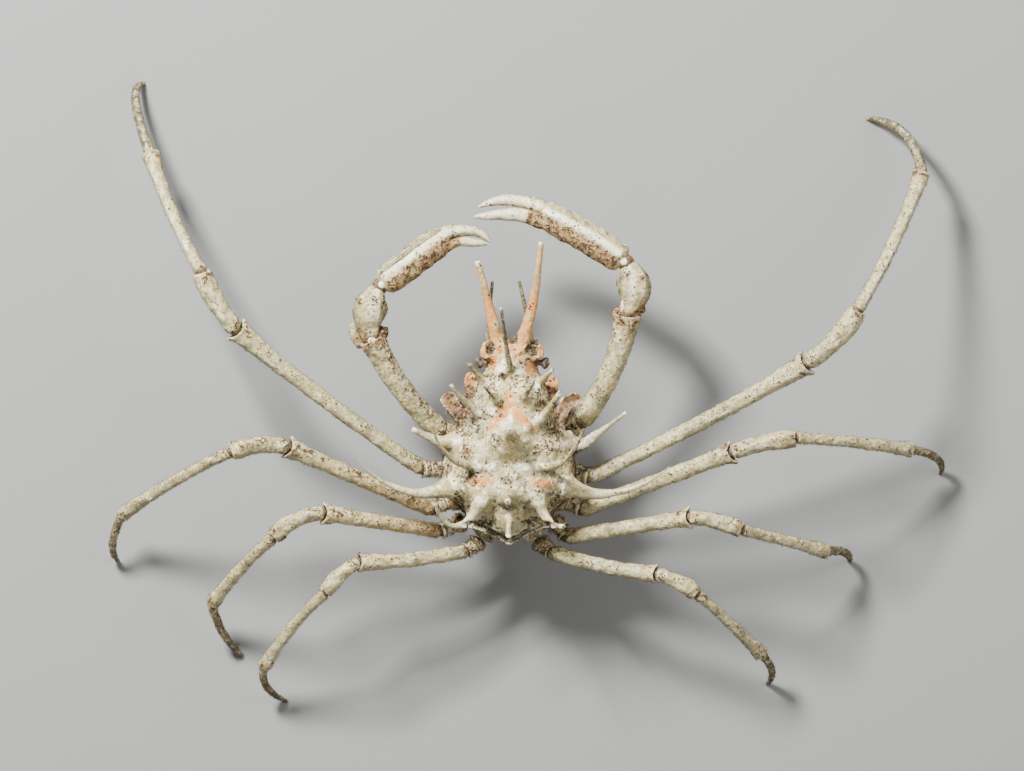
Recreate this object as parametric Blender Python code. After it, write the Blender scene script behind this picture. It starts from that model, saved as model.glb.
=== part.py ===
"""A still, life-size spider crab with long shell spines, standing on the tips of its eight walking legs.

Lengths are in millimetres, and each mesh is made from them in metres. Plan places (X, Y) are measured from
the rear point of the carapace: the crab faces +Y, its left legs are at -X, and the floor is z = 0.
PLAN_SHIFT then puts the origin under the middle of the whole model.
"""

import math

import bmesh
import bpy
import numpy as np

MM = 0.001
PLAN_SHIFT = (-3.635, -31.084)

# The narrow gap that neighbouring nodes keep where they meet, and how deep a fused piece is rooted.
GAP = 0.3
ROOT_DEPTH = 1.3

# Carapace: front and rear ends, and the heights of its flat underside and of its widest line.
FRONT_Y = 41.8
REAR_CORNER_Y = 4.2
REAR_POINT_DROP = 3.9
UNDERSIDE_Z = 17.5
RIM_Z = 20.8
# The front of the shell leans to the crab's right, as in the photographed animal.
LEAN_FROM_Y = 20.0
LEAN = 0.03

# Half width and crown height of the carapace at places along its midline.
STATION_Y = (41.8, 40.6, 39.2, 37.8, 36.6, 35.2, 33.4, 31.4, 29.0, 26.4, 23.6, 21.0, 18.4, 15.8, 13.2,
             11.2, 9.6, 8.2, 6.6, 4.2)
HALF_WIDTH = (4.6, 5.9, 6.2, 5.5, 5.25, 5.7, 7.2, 8.3, 8.8, 9.6, 10.7, 11.9, 12.9, 13.3, 13.1,
              12.4, 11.1, 9.5, 8.7, 8.4)
CROWN_Z = (23.4, 23.9, 24.2, 24.5, 24.8, 25.3, 26.1, 27.0, 28.1, 28.9, 29.4, 29.3, 28.5, 27.9, 28.3,
           28.6, 28.3, 27.6, 26.5, 22.6)

# Rounded swellings and dips of the shell: X, Y, reach along X and along Y, height.
SWELLINGS = (
    (7.6, 13.6, 3.2, 4.2, 1.5),
    (-7.6, 13.6, 3.2, 4.2, 1.5),
    (4.0, 29.2, 2.2, 2.6, 0.8),
    (-4.0, 29.2, 2.2, 2.6, 0.8),
    (7.4, 22.6, 1.8, 1.6, -0.9),
    (-7.4, 22.6, 1.8, 1.6, -0.9),
    (0.0, 17.0, 5.0, 1.3, -1.0),
    (0.0, 10.0, 2.4, 3.0, 0.9),
    (4.6, 6.6, 1.6, 2.0, -0.8),
    (-4.6, 6.6, 1.6, 2.0, -0.8),
)

# Spines of the shell. Each has its axis as plan places with the height above the shell at the root, the
# width at root and at tip. The first place is the root, on the shell's surface or on its rim.
SPINES = {
    "rostral_left": (((-2.4, 40.4, -1.4), (-3.6, 46.0, 0.0), (-4.7, 51.4, 1.2), (-6.3, 57.4, 2.8)), 2.9, 1.3),
    "rostral_right": (((2.7, 39.8, -1.4), (4.1, 45.6, 0.0), (5.2, 51.4, 1.4), (6.5, 61.2, 3.8)), 3.1, 1.2),
    "frontal": (((0.4, 35.4, 0.0), (-0.3, 39.0, 3.0), (-1.0, 43.6, 6.2), (-1.6, 48.2, 9.0)), 1.9, 0.8),
    "gastric_left": (((-2.1, 29.3, 0.0), (-3.5, 30.6, 3.0), (-4.9, 32.2, 6.6)), 1.7, 0.6),
    "gastric_right": (((2.7, 29.7, 0.0), (3.9, 31.4, 3.0), (5.2, 33.6, 6.6)), 1.7, 0.6),
    "orbital_left": (((-5.2, 33.3, 0.0), (-6.6, 35.1, 2.0), (-8.1, 37.0, 4.6)), 1.9, 0.8),
    "orbital_right": (((6.0, 33.1, 0.0), (7.4, 34.4, 2.0), (8.8, 35.7, 4.6)), 1.9, 0.8),
    "hepatic_left": (((-6.0, 26.9, 0.0), (-8.9, 29.6, 2.4), (-11.7, 32.7, 4.8)), 2.3, 0.8),
    "hepatic_right": (((6.2, 25.8, 0.0), (8.3, 28.5, 2.4), (10.1, 31.3, 4.8)), 2.3, 0.8),
    "mesogastric": (((0.3, 22.4, 0.0), (0.3, 23.0, 5.0), (0.2, 23.6, 13.0)), 2.6, 1.0),
    "lateral_left": (((-11.0, 21.4, -0.6), (-13.8, 21.4, 0.2), (-19.4, 23.8, 2.4)), 3.0, 1.2),
    "lateral_right": (((11.8, 21.2, -0.4), (15.2, 21.2, 0.4), (23.5, 27.2, 3.2)), 3.0, 0.8),
    "branchial_left": (((-6.9, 16.5, 0.0), (-10.6, 17.4, 3.6), (-13.8, 20.6, 7.0), (-15.2, 24.2, 9.6)), 2.2, 0.7),
    "branchial_right": (((7.0, 16.1, 0.0), (10.7, 17.4, 3.6), (13.5, 20.8, 7.0), (14.8, 24.0, 9.6)), 2.2, 0.7),
    "long_left": (((-12.0, 12.2, 0.0), (-18.0, 11.0, 1.2), (-24.8, 13.2, 3.0), (-31.0, 17.9, 5.2)), 3.2, 0.5),
    "long_right": (((11.9, 12.3, 0.0), (18.4, 10.8, 1.2), (26.6, 12.7, 3.2), (32.3, 16.4, 5.2)), 3.2, 0.5),
    "posterior_left": (((-5.9, 8.9, 0.0), (-8.6, 5.1, 0.4), (-12.3, 4.9, 1.8), (-14.9, 9.1, 4.6)), 2.8, 0.7),
    "posterior_right": (((6.0, 8.9, 0.0), (7.4, 6.2, 0.4), (9.2, 4.6, 2.2), (10.8, 4.4, 5.8)), 2.8, 0.9),
    "cardiac": (((-0.2, 10.0, 0.0), (-0.3, 9.6, 5.0), (-0.3, 9.4, 11.0)), 3.0, 1.5),
    "intestinal": (((0.0, 6.2, 0.0), (-0.1, 3.8, 2.4), (-0.1, 1.9, 5.0)), 3.8, 1.2),
}

# Flat lobes of the shell's front edge, as spoons: root, middle and end, width and thickness of the blade.
LOBES = {
    "eave_left": (((-3.0, 38.6, 23.0), (-4.2, 39.6, 23.2), (-5.0, 40.2, 23.4)), 3.4, 1.6),
    "eave_right": (((4.4, 38.4, 23.0), (5.4, 39.4, 23.2), (6.2, 40.2, 23.4)), 3.6, 1.6),
    "postorbital_left": (((-6.4, 32.4, 22.2), (-7.6, 33.8, 22.8), (-8.4, 35.4, 23.4)), 2.6, 1.5),
    "postorbital_right": (((7.6, 32.2, 22.2), (8.6, 33.8, 22.8), (9.2, 35.6, 23.4)), 2.6, 1.5),
    "hepatic_plate_left": (((-8.8, 24.6, 21.4), (-10.6, 27.4, 22.2), (-13.0, 31.6, 23.2)), 3.8, 1.3),
    "hepatic_plate_right": (((9.6, 24.4, 21.4), (11.2, 27.0, 22.2), (13.6, 31.2, 23.2)), 4.0, 1.3),
}

# Thorax under the shell: plan corners of the right half from front to rear, and its floor and roof.
THORAX_CORNERS = ((3.4, 27.2), (5.4, 25.8), (8.2, 18.6), (9.0, 12.0), (8.7, 7.9), (7.2, 3.4), (3.5, 0.9),
                  (2.8, 2.7))
THORAX_Z = (12.2, 17.2)
THORAX_BEVEL = 0.9
COXA_Z = 14.8
# The side of the plan outline, counted from the front, that carries each pair of limbs.
LIMB_FACES = {"cheliped": 1, "leg_1": 2, "leg_2": 3, "leg_3": 4, "leg_4": 5}

# Walking legs in the photographed stance: plan places of the joints, a point half way along the claw,
# the claw's tip, the heights of knee, wrist and ankle, and how far each middle part bows toward the front.
LEG_POSES = {
    ("left", 1): dict(hip=(-17.4, 15.8), knee=(-54.4, 43.6), wrist=(-61.4, 55.2), ankle=(-71.9, 79.1),
                      bend=(-75.0, 89.6), tip=(-73.4, 93.2), heights=(28.0, 28.5, 10.5), bows=(-0.6, -0.5, -0.7)),
    ("left", 2): dict(hip=(-15.4, 7.6), knee=(-44.2, 20.2), wrist=(-55.6, 19.2), ankle=(-77.6, 6.6),
                      bend=(-79.6, 0.6), tip=(-78.6, -2.8), heights=(26.5, 27.0, 9.5), bows=(0.0, 0.9, 0.6)),
    ("left", 3): dict(hip=(-13.8, 3.4), knee=(-37.2, 7.0), wrist=(-47.2, 2.0), ankle=(-59.6, -11.2),
                      bend=(-57.5, -17.1), tip=(-53.6, -22.0), heights=(24.5, 24.5, 8.0), bows=(0.0, 1.2, 0.5)),
    ("left", 4): dict(hip=(-8.6, -0.6), knee=(-30.2, -2.8), wrist=(-36.8, -9.0), ankle=(-49.2, -24.0),
                      bend=(-48.6, -28.1), tip=(-44.8, -31.0), heights=(22.5, 22.0, 8.5), bows=(-0.6, 0.6, 0.7)),
    ("right", 1): dict(hip=(16.2, 14.2), knee=(59.4, 37.0), wrist=(69.6, 47.6), ankle=(82.8, 75.2),
                       bend=(79.2, 83.2), tip=(72.0, 86.2), heights=(26.5, 27.0, 10.5), bows=(-0.7, -0.9, -0.75)),
    ("right", 2): dict(hip=(14.6, 7.6), knee=(44.6, 19.2), wrist=(57.4, 22.0), ankle=(80.8, 19.6),
                       bend=(86.0, 17.8), tip=(86.8, 14.8), heights=(26.0, 26.5, 10.5), bows=(0.0, 0.5, 0.3)),
    ("right", 3): dict(hip=(11.4, 2.2), knee=(36.2, 6.2), wrist=(46.6, 3.6), ankle=(63.8, -0.8),
                       bend=(67.4, -1.0), tip=(68.6, -3.0), heights=(24.5, 24.5, 10.0), bows=(0.0, 0.5, 0.1)),
    ("right", 4): dict(hip=(8.4, -0.8), knee=(29.6, -5.2), wrist=(37.6, -9.2), ankle=(50.8, -21.6),
                       bend=(52.8, -24.8), tip=(52.0, -27.6), heights=(22.5, 22.0, 9.0), bows=(-0.6, 0.5, 0.3)),
}
# Widths of each pair of legs: at the root, along the merus, across its two knee knobs, across the carpus,
# along the propodus, across its swollen end, and at the root of the claw.
LEG_WIDTHS = {
    1: dict(root=2.9, merus=3.0, knee=5.2, carpus=4.1, propodus=2.45, ankle=3.2, claw=2.0),
    2: dict(root=2.7, merus=3.0, knee=4.7, carpus=3.7, propodus=2.2, ankle=2.8, claw=1.6),
    3: dict(root=2.6, merus=2.9, knee=4.4, carpus=3.4, propodus=2.25, ankle=2.9, claw=1.7),
    4: dict(root=2.5, merus=2.85, knee=3.7, carpus=3.2, propodus=2.1, ankle=2.75, claw=1.5),
}
HIP_Z = 15.6
TIP_WIDTH = 0.6

# Claw-bearing legs: joints in plan, then their heights, then the fingers' axes as X, Y, z.
CHELIPED_POSES = {
    "left": dict(hip=(-13.2, 22.9), elbow=(-27.5, 42.2), wrist=(-25.8, 52.3), palm_end=(-12.4, 62.4),
                 bows=(-1.3, 1.2, 0.1), thumb_width=1.6,
                 finger=((-12.8, 63.4), (-7.6, 63.5), (-3.9, 61.2)),
                 thumb=((-11.5, 61.3), (-7.4, 61.0), (-4.0, 60.8))),
    "right": dict(hip=(14.0, 25.2), elbow=(23.6, 47.0), wrist=(23.4, 57.0), palm_end=(6.4, 67.0),
                  bows=(-1.8, 1.5, 0.4), thumb_width=2.1,
                  finger=((6.4, 68.3), (0.2, 69.6), (-6.0, 68.2)),
                  thumb=((5.2, 66.2), (-0.8, 66.6), (-7.0, 66.2))),
}
CHELIPED_HEIGHTS = dict(hip=15.4, elbow=22.5, wrist=23.5, palm_end=21.5, finger_end=20.5)
CHELIPED_WIDTHS = dict(root=3.8, merus=4.4, elbow=6.2, carpus=6.2, palm=6.3, palm_depth=4.6, finger=2.2)

# The knob at the outer end of the left merus.
OUTER_KNOB = ((-29.4, 40.0, 21.8), (-30.8, 42.4, 22.4), (-31.4, 44.8, 22.6))
OUTER_KNOB_WIDTH = 1.9

# Small parts of the head: eyes, antennae, mouthparts.
EYE_Y = 37.1
EYE_Z = 22.4
EYE_WIDTH = 2.0
EYE_REACH = {"left": (-4.9, -6.9), "right": (5.9, 8.1)}
ANTENNAE = {
    "left": ((-4.4, 38.4, 18.7), (-4.1, 42.6, 18.8), (-3.9, 47.4, 20.4), (-3.3, 53.2, 22.4)),
    "right": ((4.8, 38.4, 18.7), (4.3, 42.6, 18.8), (3.4, 47.4, 20.4), (2.0, 53.4, 22.4)),
}
ANTENNA_WIDTHS = (1.3, 0.7)
MOUTHPART = dict(x=(0.2, 3.6), y=(27.6, 34.6), z=(13.6, 17.2))
MOUTHPART_BEVEL = 0.6

# Tail plate folded under the thorax: its width at front, middle and rear, thickness, and its ends.
PLEON_WIDTHS = (2.4, 4.8, 4.6)
PLEON_THICKNESS = 1.1
# The tail's segments, and how much it draws in at the seams between them, as shares of width and thickness.
PLEON_SEGMENTS = 7
PLEON_SEAMS = (0.09, 0.3)
PLEON_FRONT_Y = 20.0
PLEON_REAR_Y = 1.75

SHELL_WHITE = (0.62, 0.58, 0.46)
LEG_CREAM = (0.58, 0.50, 0.36)
BROWN = (0.30, 0.20, 0.12)
EYE_DARK = (0.03, 0.02, 0.015)


def clear_scene():
    for obj in list(bpy.data.objects):
        bpy.data.objects.remove(obj, do_unlink=True)


def material(name, colour, roughness):
    made = bpy.data.materials.new(name)
    made.use_nodes = True
    shader = made.node_tree.nodes["Principled BSDF"]
    shader.inputs["Base Color"].default_value = (*colour, 1.0)
    shader.inputs["Roughness"].default_value = roughness
    shader.inputs["Metallic"].default_value = 0.0
    return made


def unit(vector):
    vector = np.asarray(vector, float)
    return vector / np.linalg.norm(vector)


def smooth_path(points, steps):
    """A Catmull-Rom curve through the points, with this many steps between each two."""
    points = np.asarray(points, float)
    ends = np.vstack([2 * points[0] - points[1], points, 2 * points[-1] - points[-2]])
    t = np.linspace(0, 1, steps, endpoint=False)[:, None]
    parts = []
    for a, b, c, d in zip(ends[:-3], ends[1:-2], ends[2:-1], ends[3:]):
        parts.append(0.5 * (2 * b + (c - a) * t + (2 * a - 5 * b + 4 * c - d) * t**2 + (3 * b - a - 3 * c + d) * t**3))
    return np.vstack([*parts, points[-1:]])


def arc(start, middle, end, stations):
    """A parabola from start to end through the middle point, read at the stations from 0 to 1."""
    start, middle, end = (np.asarray(point, float) for point in (start, middle, end))
    pull = 2 * middle - 0.5 * (start + end)
    t = np.asarray(stations, float)[:, None]
    path = (1 - t) ** 2 * start + 2 * t * (1 - t) * pull + t**2 * end
    return path, unit(pull - start), unit(end - pull)


def bowed(start, end, bow, rise=0.0):
    """The middle point of a limb part that bows toward the front by this much, and upward by the rise."""
    start, end = np.asarray(start, float), np.asarray(end, float)
    along = end - start
    front = unit((-along[1], along[0], 0.0)) * (1 if along[0] > 0 else -1)
    return 0.5 * (start + end) + bow * front + np.array((0, 0, rise))


def rings(path, widths, depths, sides):
    """Elliptic rings square to a path: widths lie level and depths stand up, with no twist between rings."""
    path = np.asarray(path, float)
    tangents = np.gradient(path, axis=0)
    tangents /= np.linalg.norm(tangents, axis=1)[:, None]
    level = np.cross((0, 0, 1), tangents[0])
    side = unit(level) if np.linalg.norm(level) > 0.2 else np.array((1.0, 0, 0))
    angles = 2 * np.pi * (np.arange(sides) + 0.5) / sides
    made = []
    for centre, tangent, width, depth in zip(path, tangents, widths, depths):
        side = unit(side - tangent * side.dot(tangent))
        up = np.cross(tangent, side)
        made.append(centre + np.outer(np.cos(angles), side) * width / 2 + np.outer(np.sin(angles), up) * depth / 2)
    return np.array(made)


def mitre(stack, end, centre, tangent, normal, offset):
    """Slides the ring at one end (0 or -1) along the tangent onto a plane, and the next rings less and less."""
    distance = (centre + offset * normal - stack[end]) @ normal / (tangent @ normal)
    reach = 2.6 * max(np.abs(distance).max(), 0.4)
    middles = stack.mean(axis=1)
    for index in range(len(stack)):
        away = np.linalg.norm(middles[index] - middles[end])
        share = max(0.0, 1 - away / reach) ** 2 if index != end % len(stack) else 1.0
        stack[index] += np.outer(distance * share, tangent)
    return stack


def tube(stack):
    """Vertices and faces of a closed tube through the rings, with a flat cap on each end."""
    count, sides = stack.shape[:2]
    faces = []
    for ring in range(count - 1):
        for k in range(sides):
            a, b = ring * sides + k, ring * sides + (k + 1) % sides
            faces.append((a, b, b + sides, a + sides))
    faces.append(tuple(reversed(range(sides))))
    faces.append(tuple(range((count - 1) * sides, count * sides)))
    return stack.reshape(-1, 3), faces


def make(name, shape, finish=None):
    """An object from vertices in millimetres and faces, with every face turned outward."""
    vertices, faces = shape
    placed = (np.asarray(vertices) + (*PLAN_SHIFT, 0.0)) * MM
    mesh = bpy.data.meshes.new(name)
    mesh.from_pydata([tuple(point) for point in placed], [], faces)
    work = bmesh.new()
    work.from_mesh(mesh)
    bmesh.ops.recalc_face_normals(work, faces=work.faces)
    work.to_mesh(mesh)
    work.free()
    mesh.shade_smooth()
    mesh.set_sharp_from_angle(angle=math.radians(50))
    obj = bpy.data.objects.new(name, mesh)
    bpy.context.scene.collection.objects.link(obj)
    if finish:
        mesh.materials.append(finish)
    return obj


def largest_body(mesh):
    """Keeps only the closed surface with the most faces."""
    work = bmesh.new()
    work.from_mesh(mesh)
    left = set(work.faces)
    bodies = []
    while left:
        body = {left.pop()}
        edge = list(body)
        while edge:
            near = {other for side in edge.pop().edges for other in side.link_faces} & left
            left -= near
            body |= near
            edge.extend(near)
        bodies.append(body)
    keep = max(bodies, key=len)
    bmesh.ops.delete(work, geom=[face for face in work.faces if face not in keep], context="FACES")
    loose = [vertex for vertex in work.verts if not vertex.link_faces]
    bmesh.ops.delete(work, geom=loose, context="VERTS")
    work.to_mesh(mesh)
    work.free()


def fuse(body, pieces):
    """Joins the pieces to the body by one union, and removes them."""
    group = bpy.data.collections.new(body.name + "_pieces")
    bpy.context.scene.collection.children.link(group)
    for piece in pieces:
        bpy.context.scene.collection.objects.unlink(piece)
        group.objects.link(piece)
    union = body.modifiers.new("union", "BOOLEAN")
    union.operation = "UNION"
    union.solver = "EXACT"
    union.operand_type = "COLLECTION"
    union.collection = group
    bpy.context.view_layer.update()
    joined = bpy.data.meshes.new_from_object(body.evaluated_get(bpy.context.evaluated_depsgraph_get()))
    body.modifiers.clear()
    finish = body.data.materials[0]
    body.data = joined
    joined.materials.clear()
    joined.materials.append(finish)
    for piece in pieces:
        bpy.data.objects.remove(piece, do_unlink=True)
    bpy.data.collections.remove(group)
    largest_body(joined)
    joined.shade_smooth()
    joined.set_sharp_from_angle(angle=math.radians(50))


def midline(y):
    return LEAN * max(0.0, y - LEAN_FROM_Y)


def swell(x, y):
    """The height that the swellings add to the shell at a place: a sum of Gaussian bumps."""
    total = 0.0
    for at_x, at_y, reach_x, reach_y, height in SWELLINGS:
        total += height * math.exp(-(((x - at_x) / reach_x) ** 2) - ((y - at_y) / reach_y) ** 2)
    return total


def shell_ring(y, half_width, crown, underside, drop, sides):
    """One ring round the shell: a domed back above the widest line, a drawn-in flat underside below it."""
    ring = []
    for k in range(sides):
        angle = 2 * math.pi * k / sides
        across = math.cos(angle)
        x = midline(y) + half_width * across
        back = y - drop * (1 - abs(across)) ** 1.3
        if math.sin(angle) >= 0:
            dome = (1 - abs(across) ** 2.3) ** 0.72
            z = RIM_Z + (crown - RIM_Z + swell(x, back)) * dome
        else:
            down = min(1.0, 1.7 * -math.sin(angle))
            z = RIM_Z + (underside - RIM_Z) * down
            x -= half_width * across * 0.12 * down
        ring.append((x, back, z))
    return ring


def carapace_hull():
    """The shell without its spines: rings from the front edge back to the shallow V of the rear rim."""
    sides = 32
    places = np.concatenate([np.linspace(FRONT_Y, 31.0, 9), np.linspace(29.0, REAR_CORNER_Y, 15)])
    stack = []
    for y in places:
        half_width = np.interp(-y, -np.array(STATION_Y), HALF_WIDTH)
        crown = np.interp(-y, -np.array(STATION_Y), CROWN_Z)
        front = min(1.0, max(0.0, (y - 33.0) / 6.0))
        near_rear = min(1.0, max(0.0, (9.0 - y) / (9.0 - REAR_CORNER_Y)))
        stack.append(shell_ring(y, half_width, crown, UNDERSIDE_Z + 2.2 * front + 1.6 * near_rear,
                                REAR_POINT_DROP * near_rear**1.5, sides))
    return tube(np.array(stack))


def shell_top(x, y):
    """The height of the shell's back at a plan place."""
    half_width = np.interp(-y, -np.array(STATION_Y), HALF_WIDTH)
    crown = np.interp(-y, -np.array(STATION_Y), CROWN_Z)
    across = min(1.0, abs(x - midline(y)) / half_width)
    dome = (1 - across**2.3) ** 0.72
    return RIM_Z + (crown - RIM_Z + swell(x, y)) * dome


def spine(name, axis, root_width, tip_width):
    """A tapering spine with a flared root that starts inside the shell."""
    axis = np.array(axis, float)
    axis[:, 2] += shell_top(axis[0, 0], axis[0, 1])
    inside = axis[0] - ROOT_DEPTH * unit(axis[1] - axis[0])
    path = smooth_path(np.vstack([inside, axis]), 3)[2:]
    t = np.linspace(0, 1, len(path))
    widths = tip_width + (root_width - tip_width) * (1 - t) ** 1.6
    return make(name, tube(rings(path, widths, widths, 8)))


def lobe(name, axis, width, thickness):
    """A flat rounded blade on a narrower root."""
    path = smooth_path(axis, 3)
    t = np.linspace(0, 1, len(path))
    widths = width * np.interp(t, (0, 0.4, 0.75, 1.0), (0.62, 0.8, 1.0, 0.55))
    depths = thickness * np.interp(t, (0, 0.75, 1.0), (1.2, 1.0, 0.7))
    return make(name, tube(rings(path, widths, depths, 8)))


def build_carapace(finish):
    body = make("carapace", carapace_hull(), finish)
    pieces = [spine(name, *sizes) for name, sizes in SPINES.items()]
    pieces += [lobe(name, *sizes) for name, sizes in LOBES.items()]
    fuse(body, pieces)


def plate(outline, z, bevel):
    """A flat piece with this plan outline between two levels, its upper and lower edges bevelled.

    The bevel draws the outline in toward its own middle by the same share along X and along Y."""
    outline = np.array(outline, float)
    middle = (outline.min(axis=0) + outline.max(axis=0)) / 2
    inner = middle + (outline - middle) * (1 - bevel / np.abs(outline - middle).max(axis=0))
    low, high = z
    levels = ((low, inner), (low + bevel, outline), (high - bevel, outline), (high, inner))
    return tube(np.array([[(x, y, level) for x, y in ring] for level, ring in levels]))


def build_thorax(finish):
    right = list(THORAX_CORNERS)
    left = [(-x, y) for x, y in reversed(THORAX_CORNERS)]
    make("thorax", plate(right + left, THORAX_Z, THORAX_BEVEL), finish)


def limb_root(limb, side):
    """The middle of the thorax face that carries a limb, and the direction it faces."""
    corner = LIMB_FACES[limb]
    (ax, ay), (bx, by) = THORAX_CORNERS[corner:corner + 2]
    sign = 1 if side == "right" else -1
    normal = unit((ay - by, bx - ax, 0.0)) * (sign, 1, 1)
    return np.array((sign * (ax + bx) / 2, (ay + by) / 2, COXA_Z)), normal


def limb_part(name, ends, middle, stations, widths, depths, sides, cuts, finish):
    """One limb part: rings along a parabola, its ends cut to the planes it shares with its neighbours.

    Each cut is a plane's point, its normal along the limb, and how far along the normal this part stops."""
    path, leaving, arriving = arc(ends[0], middle, ends[1], stations)
    stack = rings(path, widths, depths, sides)
    first, last = cuts
    mitre(stack, 0, first[0], leaving, first[1], first[2])
    mitre(stack, -1, last[0], arriving, last[1], last[2])
    return make(name, tube(stack), finish)


def joint_planes(joints, middles):
    """For each inner joint, the plane half way between the directions of the two parts that meet there."""
    planes = []
    for before, start, joint, after, end in zip(middles[:-1], joints[:-2], joints[1:-1], middles[1:], joints[2:]):
        arriving = arc(start, before, joint, (1,))[2]
        leaving = arc(joint, after, end, (0,))[1]
        planes.append((joint, unit(arriving + leaving)))
    return planes


BASE_STATIONS = (0, 0.35, 0.7, 1)
MERUS_STATIONS = (0, 0.05, 0.28, 0.52, 0.74, 0.87, 0.94, 0.975, 1)
CARPUS_STATIONS = (0, 0.14, 0.34, 0.55, 0.75, 0.9, 1)
PROPODUS_STATIONS = (0, 0.07, 0.28, 0.5, 0.7, 0.84, 0.94, 1)
CLAW_STATIONS = (0, 0.12, 0.3, 0.48, 0.64, 0.78, 0.9, 1)


def build_leg(side, number, pose, sizes, finish):
    name = f"leg_{side}_{number}"
    root, facing = limb_root(f"leg_{number}", side)
    knee_z, wrist_z, ankle_z = pose["heights"]
    hip = np.array((*pose["hip"], HIP_Z))
    knee = np.array((*pose["knee"], knee_z))
    wrist = np.array((*pose["wrist"], wrist_z))
    ankle = np.array((*pose["ankle"], ankle_z))
    tip = np.array((*pose["tip"], 0.0))
    bows = pose["bows"]
    out = root + facing * 0.45 * np.linalg.norm(hip - root)
    joints = (root, hip, knee, wrist, ankle, tip)
    middles = (
        0.25 * root + 0.5 * out + 0.25 * hip,
        bowed(hip, knee, bows[0], 0.6),
        bowed(knee, wrist, bows[1], 0.5),
        bowed(wrist, ankle, bows[2], 0.6),
        np.array((*pose["bend"], 0.56 * ankle_z)),
    )
    planes = joint_planes(joints, middles)
    starts = [(root, facing, GAP)] + [(*plane, GAP / 2) for plane in planes]
    ends = [(*plane, -GAP / 2) for plane in planes] + [(tip, np.array((0, 0, -1.0)), 0.0)]
    merus, carpus, propodus = sizes["merus"], sizes["carpus"], sizes["propodus"]
    knob, claw = sizes["knee"], sizes["claw"]
    parts = (
        ("base", BASE_STATIONS, (sizes["root"], sizes["root"], merus * 0.94, merus * 0.9), 1.0, 10),
        ("merus", MERUS_STATIONS,
         (merus * 0.95, merus * 1.02, merus * 0.97, merus, merus * 1.02, merus * 1.07, merus * 1.2,
          knob * 0.86, knob), 0.0, 12),
        ("carpus", CARPUS_STATIONS,
         np.array((0.78, 0.76, 0.82, 0.88, 1.0, 0.96, 0.74)) * carpus, 0.96, 10),
        ("propodus", PROPODUS_STATIONS,
         (propodus * 1.05, propodus * 0.98, propodus, propodus, propodus * 1.08, sizes["ankle"] * 0.9,
          sizes["ankle"], sizes["ankle"] * 0.86), 0.95, 10),
        ("dactylus", CLAW_STATIONS,
         np.array((1.0, 0.9, 0.86, 0.82, 0.76, 0.66, 0.5, TIP_WIDTH / claw)) * claw, 0.95, 8),
    )
    for index, (part, stations, widths, depth, sides) in enumerate(parts):
        depths = np.minimum(np.asarray(widths), merus * 1.15) if part == "merus" else np.asarray(widths) * depth
        limb_part(f"{name}_{part}", joints[index:index + 2], middles[index], stations, widths, depths, sides,
                  (starts[index], ends[index]), finish)


def build_cheliped(side, pose, finish):
    name = f"cheliped_{side}"
    root, facing = limb_root("cheliped", side)
    heights, sizes = CHELIPED_HEIGHTS, CHELIPED_WIDTHS
    hip = np.array((*pose["hip"], heights["hip"]))
    elbow = np.array((*pose["elbow"], heights["elbow"]))
    wrist = np.array((*pose["wrist"], heights["wrist"]))
    palm_end = np.array((*pose["palm_end"], heights["palm_end"]))
    bows = pose["bows"]
    out = root + facing * 0.45 * np.linalg.norm(hip - root)
    joints = (root, hip, elbow, wrist, palm_end)
    middles = (
        0.25 * root + 0.5 * out + 0.25 * hip,
        bowed(hip, elbow, bows[0], 0.5),
        bowed(elbow, wrist, bows[1], 0.6),
        bowed(wrist, palm_end, bows[2], 0.4),
    )
    planes = joint_planes(joints, middles)
    along = arc(wrist, middles[3], palm_end, (1,))[2]
    starts = [(root, facing, GAP)] + [(*plane, GAP / 2) for plane in planes]
    ends = [(*plane, -GAP / 2) for plane in planes] + [(palm_end, along, -GAP / 2)]
    merus, carpus, palm = sizes["merus"], sizes["carpus"], sizes["palm"]
    parts = (
        ("base", BASE_STATIONS, (sizes["root"], sizes["root"], merus * 0.92, merus * 0.9), 1.0, 10),
        ("merus", (0, 0.08, 0.3, 0.55, 0.78, 0.9, 1),
         (merus * 0.95, merus, merus, merus, merus * 1.02, merus * 1.12, sizes["elbow"]), 0.95, 12),
        ("carpus", (0, 0.12, 0.3, 0.5, 0.7, 0.86, 1),
         np.array((0.68, 0.66, 0.84, 0.99, 1.0, 0.84, 0.6)) * carpus, 0.85, 12),
        ("palm", (0, 0.08, 0.26, 0.5, 0.74, 0.92, 1),
         np.array((0.7, 0.8, 0.96, 1.0, 1.0, 0.95, 0.92)) * palm, sizes["palm_depth"] / palm, 12),
    )
    for index, (part, stations, widths, depth, sides) in enumerate(parts):
        widths = np.asarray(widths)
        made = limb_part(f"{name}_{part}", joints[index:index + 2], middles[index], stations, widths,
                         widths * depth, sides, (starts[index], ends[index]), finish)
        if part == "merus" and side == "left":
            add_outer_knob(made)
    build_fingers(name, made, pose, palm_end, along, finish)


def add_outer_knob(merus):
    """The left merus ends in one knob that stands past the elbow on its outer side."""
    path = smooth_path(OUTER_KNOB, 3)
    widths = OUTER_KNOB_WIDTH * np.interp(np.linspace(0, 1, len(path)), (0, 0.6, 1), (0.9, 1.0, 0.5))
    fuse(merus, [make("outer_knob", tube(rings(path, widths, widths, 8)))])


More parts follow.
